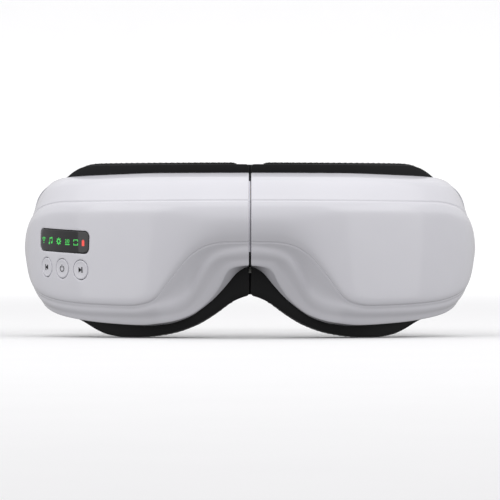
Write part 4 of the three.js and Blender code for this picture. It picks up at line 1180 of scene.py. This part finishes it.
def strapPath():
    # middle of the strap in plan: from its sewn end at the left pin, round the head,
    # to its loose end at the right
    deep = strap["back"] - strap["thick"] / 2 - strapTurn
    doubled = strap["thick"] + 0.05
    angles = np.linspace(0, math.pi, 90)

    def loopRound(side):
        turn = np.linspace(0, math.pi, 14)
        return [(side * (pinAt[0] - ringRadius * math.cos(a)),
                 pinAt[1] - ringRadius * math.sin(a)) for a in turn]

    inner = [(strapHalf - doubled, pinAt[1] + 17), (strapHalf - doubled, pinAt[1] + 11),
             (strapHalf - doubled - 0.8, pinAt[1] + 6)]
    band = [(-strapHalf * math.cos(a), strapTurn + deep * math.sin(a)) for a in angles]
    tail = [((strapHalf - doubled) * math.cos(a),
             strapTurn + (deep - doubled) * math.sin(a)) for a in np.linspace(0, 0.62, 16)]
    path = [(-x, y) for x, y in inner] + loopRound(-1) + band + loopRound(1)[::-1] + [(x, y) for x,
                                                                                      y in inner[::-1]] + tail
    path = np.array(path)
    at = lengthsAlong(path)
    fine = np.arange(0, at[-1], 0.25)
    path = np.stack([blurred(np.interp(fine, at, path[:, k]), 3.0) for k in (0, 1)], 1)
    return path[::4]


def elasticStrap():
    path = strapPath()
    along = np.gradient(path, axis=0)
    along /= np.hypot(*along.T)[:, None]
    across = np.stack([along[:, 1], -along[:, 0]], 1)
    halfWide, halfThick = strap["width"] / 2, strap["thick"] / 2
    ribs = 19
    section = []
    for face in (1, -1):
        for u in np.linspace(-1, 1, 6 * ribs + 1) * face:
            edge = 1 - abs(u) ** 18
            rib = 0.5 + 0.5 * math.cos(2 * math.pi * ribs / 2 * u)
            section.append((u * halfWide, face * halfThick * (0.35 + 0.65 * edge) * (0.9 + 0.1 * rib)))
    section = np.array(section)
    rows = [inRow(p[0] + n[0] * section[:, 1], p[1] + n[1] * section[:, 1],
                  strap["height"] + section[:, 0]) for p, n in zip(path, across)]
    columns = len(section)
    faces = gridFaces(len(rows), columns, closedColumns=True)
    faces += [tuple(range(columns - 1, -1, -1)),
              tuple(range((len(rows) - 1) * columns, len(rows) * columns))]
    piece = outward(makePiece("strap_band", np.concatenate(rows), faces))
    at = lengthsAlong(path)
    weave = piece.data.uv_layers.new(name="strapMap")
    index = np.empty(len(piece.data.loops), int)
    piece.data.loops.foreach_get("vertex_index", index)
    uv = np.stack([at[index // columns], section[index % columns, 0]], 1)
    weave.data.foreach_set("uv", uv.ravel())
    dress(piece, materials["strap_fabric"], None, ["elastic_strap"])
    tuple(inRow(-70, 60, 0))
    tuple(inRow(70, 60, 0))
    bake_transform(piece)
    sewn(path, across, at)


def sewn(path, across, at):
    # the cross of stitching that holds the strap's fixed end
    points, faces = [], []
    end = int(np.searchsorted(at, 10))
    corners = [(1.5, -9), (9, -9), (9, 9), (1.5, 9), (1.5, -9), (9, 9), (9, -9), (1.5, 9)]
    for (a, low), (b, high) in zip(corners, corners[1:]):
        count = max(2, round(math.hypot(b - a, high - low) / 2.2))
        for k in range(count):
            for m in range(4):
                t = (k + 0.15 + 0.7 * m / 3) / count
                length, up = a + (b - a) * t, low + (high - low) * t
                x, y = np.interp(length, at[:end + 4], path[:end + 4, 0]), np.interp(length, at[:end + 4],
                                                                                     path[:end + 4, 1])
                rise = strap["thick"] / 2 + 0.1 - 0.2 * abs(m / 1.5 - 1) ** 2
                for angle in np.linspace(0, 2 * math.pi, 5, endpoint=False):
                    off = rise + 0.2 * math.cos(angle)
                    step = 0.2 * math.sin(angle)
                    aside = np.array([b - a, high - low]) / math.hypot(b - a, high - low)
                    points.append(inRow(x + off, y - step * aside[1],
                                        strap["height"] + up + step * aside[0]))
            base = len(points) - 20
            faces += gridFaces(4, 5, closedColumns=True, start=base)
            faces += [tuple(range(base + 4, base - 1, -1)), tuple(range(base + 15, base + 20))]
    piece = outward(makePiece("strap_stitches", points, faces))
    dress(piece, materials["thread"], "left_half")


def roundedLoop(halfWide, halfTall, corner, count=10):
    loop = []
    for k, (x, z) in enumerate(((1, 1), (-1, 1), (-1, -1), (1, -1))):
        for a in np.linspace(k * 90, k * 90 + 90, count):
            loop.append((x * (halfWide - corner) + corner * math.cos(math.radians(a)),
                         z * (halfTall - corner) + corner * math.sin(math.radians(a))))
    return np.array(loop)


def strapKeeper():
    keeper = {"length": 11.0, "wall": 1.8}
    wide = (2 * strap["thick"] + 2 * mask["fitGap"] + 0.4) / 2
    tall = strap["width"] / 2 + mask["fitGap"]
    middle = (strapHalf - strap["thick"] / 2, strapTurn - 4)
    half, wall = keeper["length"] / 2, keeper["wall"]
    rows = []
    for grow, y in [(0, -half + 0.5), (0.15, -half + 0.15), (0.5, -half), (wall - 0.7, -half),
                    (wall - 0.2, -half + 0.2), (wall, -half + 0.8),
                    (wall, 0), (wall, half - 0.8), (wall - 0.2, half - 0.2), (wall - 0.7, half),
                    (0.5, half), (0.15, half - 0.15), (0, half - 0.5), (0, 0)]:
        loop = roundedLoop(wide + grow, tall + grow, 0.4 + grow * 0.8)
        rows.append(inRow(middle[0] + loop[:, 0], middle[1] + y, strap["height"] + loop[:, 1]))
    piece = outward(makePiece("keeper_slide", np.concatenate(rows),
                              gridFaces(len(rows), len(rows[0]), closedRows=True, closedColumns=True)))
    dress(piece, materials["dark_part"], "right_half", ["strap_keeper"])


def bridgeGusset():
    # pleated cover behind the hinge
    gusset = {"halfWide": 4.7, "back": mask["hingeBack"] + 3.9, "low": -20.2, "high": 38.8, "pleats": 4,
              "thick": 0.3}
    xs = np.linspace(-gusset["halfWide"], gusset["halfWide"], 57)
    ys = gusset["back"] + 0.28 * np.cos(xs / gusset["halfWide"] * math.pi * gusset["pleats"])
    zs = np.concatenate([[gusset["low"], gusset["low"] + 0.25],
                         np.linspace(gusset["low"] + 0.8, gusset["high"] - 0.8, 40),
                         [gusset["high"] - 0.25, gusset["high"]]])
    rows = []
    for z in zs:
        thin = gusset["thick"] * (0.4 if z in (zs[0], zs[-1]) else 1.0)
        rows.append(np.vstack([inRow(xs, ys - thin, z), inRow(xs[::-1], ys[::-1] + thin, z)]))
    columns = len(rows[0])
    faces = gridFaces(len(rows), columns, closedColumns=True)
    faces += flatEnds(len(rows), columns)
    piece = outward(makePiece("bridge_cover", np.concatenate(rows), faces))
    dress(piece, materials["bridge"], None, ["bridge_gusset"])
    tuple(inRow(-gusset["halfWide"], gusset["back"], 9))
    tuple(inRow(gusset["halfWide"], gusset["back"], 9))
    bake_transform(piece)


elasticStrap()
strapKeeper()
bridgeGusset()
print("strap, keeper and bridge built")


def seamLip():
    # stands behind the seam on the left half
    rows = []
    front, back = shellProfile(mask["seamGap"] / 2, 1.2), shellProfile(mask["seamGap"] / 2, 2.8)
    keep = (front[:, 1] < 31) & (front[:, 1] > -1)
    line = np.vstack([front[keep], back[keep][::-1]])
    for x in (-1.2, 0.05, 0.17, 0.2):
        pull = 0.12 if x == 0.2 else 0
        rows.append(inRow(x, line[:, 0] + pull, line[:, 1]))
    columns = len(line)
    faces = gridFaces(len(rows), columns, closedColumns=True)
    faces += flatEnds(len(rows), columns)
    piece = outward(makePiece("seam_lip", np.concatenate(rows), faces))
    dress(piece, materials["shell"], "left_half")
    sharpen(piece, 50)


seamLip()


studio = {"distance": 1.6, "focal": 259.3, "eye": 0.0395}


floor = {"front": -2.6, "curveStart": 2.0, "curve": 0.6, "top": 2.6, "halfWide": 3.5, "sink": 0.0002}


def stageFloor():
    # floor that curves up into a backdrop
    line = [(floor["front"], 0), (floor["curveStart"], 0)]
    for a in np.linspace(0.1, math.pi / 2, 12):
        line.append((floor["curveStart"] + floor["curve"] * math.sin(a),
                     floor["curve"] - floor["curve"] * math.cos(a)))
    line.append((floor["curveStart"] + floor["curve"], floor["top"]))
    rows = [[(x, y, z - floor["sink"]) for x in (-floor["halfWide"], floor["halfWide"])] for y, z in line]
    piece = makePiece("studio_floor", [p for row in rows for p in row], gridFaces(len(rows), 2))
    shader = Shader("white studio paper", roughness=0.85, specularIORLevel=0.1)
    paper = shader.noise(shader.place(), 0.02, 2)
    shader.set(baseColor=shader.mix(paper, (0.93, 0.93, 0.93), (0.95, 0.95, 0.95)))
    piece.data.materials.append(shader.material)
    piece.visible_diffuse = False  # keeps the white floor from lighting the underside
    piece.visible_glossy = False


def softBox(name, place, aim, size, power, colour=(1, 1, 1)):
    light = bpy.data.lights.new(name, "AREA")
    light.shape = "RECTANGLE"
    light.size, light.size_y = size
    light.energy = power
    light.color = colour
    lamp = bpy.data.objects.new(name, light)
    bpy.context.scene.collection.objects.link(lamp)
    lamp.location = place
    lamp.rotation_euler = (Vector(aim) - Vector(place)).to_track_quat("-Z", "Y").to_euler()
    return lamp


stageFloor()
middle = (0, originY / 1000 + 0.03, 0.04)
softBox("overhead box", (0, -0.2, 0.95), middle, (2.8, 1.2), 4)
softBox("left box", (-0.95, -0.55, 0.35), middle, (0.9, 1.3), 1.9)
softBox("right box", (0.95, -0.55, 0.35), middle, (0.9, 1.3), 1.9)
softBox("backdrop wash", (0, 1.8, 1.4), (0, 2.5, 0.4), (3.4, 0.5), 13)

def studioSky():
    # brighter from above than from below
    world = bpy.data.worlds.new("studio")
    bpy.context.scene.world = world
    world.use_nodes = True
    tree = world.node_tree
    height = tree.nodes.new("ShaderNodeSeparateXYZ")
    tree.links.new(tree.nodes.new("ShaderNodeTexCoord").outputs["Generated"], height.inputs[0])
    level = tree.nodes.new("ShaderNodeMapRange")
    level.interpolation_type = "SMOOTHSTEP"
    tree.links.new(height.outputs["Z"], level.inputs[0])
    for socket, value in zip(list(level.inputs)[1:5], (sky["from"], sky["to"], sky["below"], sky["above"])):
        socket.default_value = value
    background = tree.nodes["Background"]
    background.inputs[0].default_value = (*sky["tint"], 1)
    tree.links.new(level.outputs[0], background.inputs[1])


sky = {"from": -0.5, "to": 0.7, "below": 0.36, "above": 0.86, "tint": (0.99, 0.985, 1.0)}
studioSky()

lens = bpy.data.cameras.new("camera")
lens.lens = studio["focal"]
lens.clip_start, lens.clip_end = 0.01, 20
camera = bpy.data.objects.new("camera", lens)
bpy.context.scene.collection.objects.link(camera)
camera.location = (0, originY / 1000 - studio["distance"], studio["eye"])
camera.rotation_euler = (math.pi / 2, 0, 0)
bpy.context.scene.camera = camera
bpy.context.scene.view_settings.view_transform = "Standard"

print("scene ready")
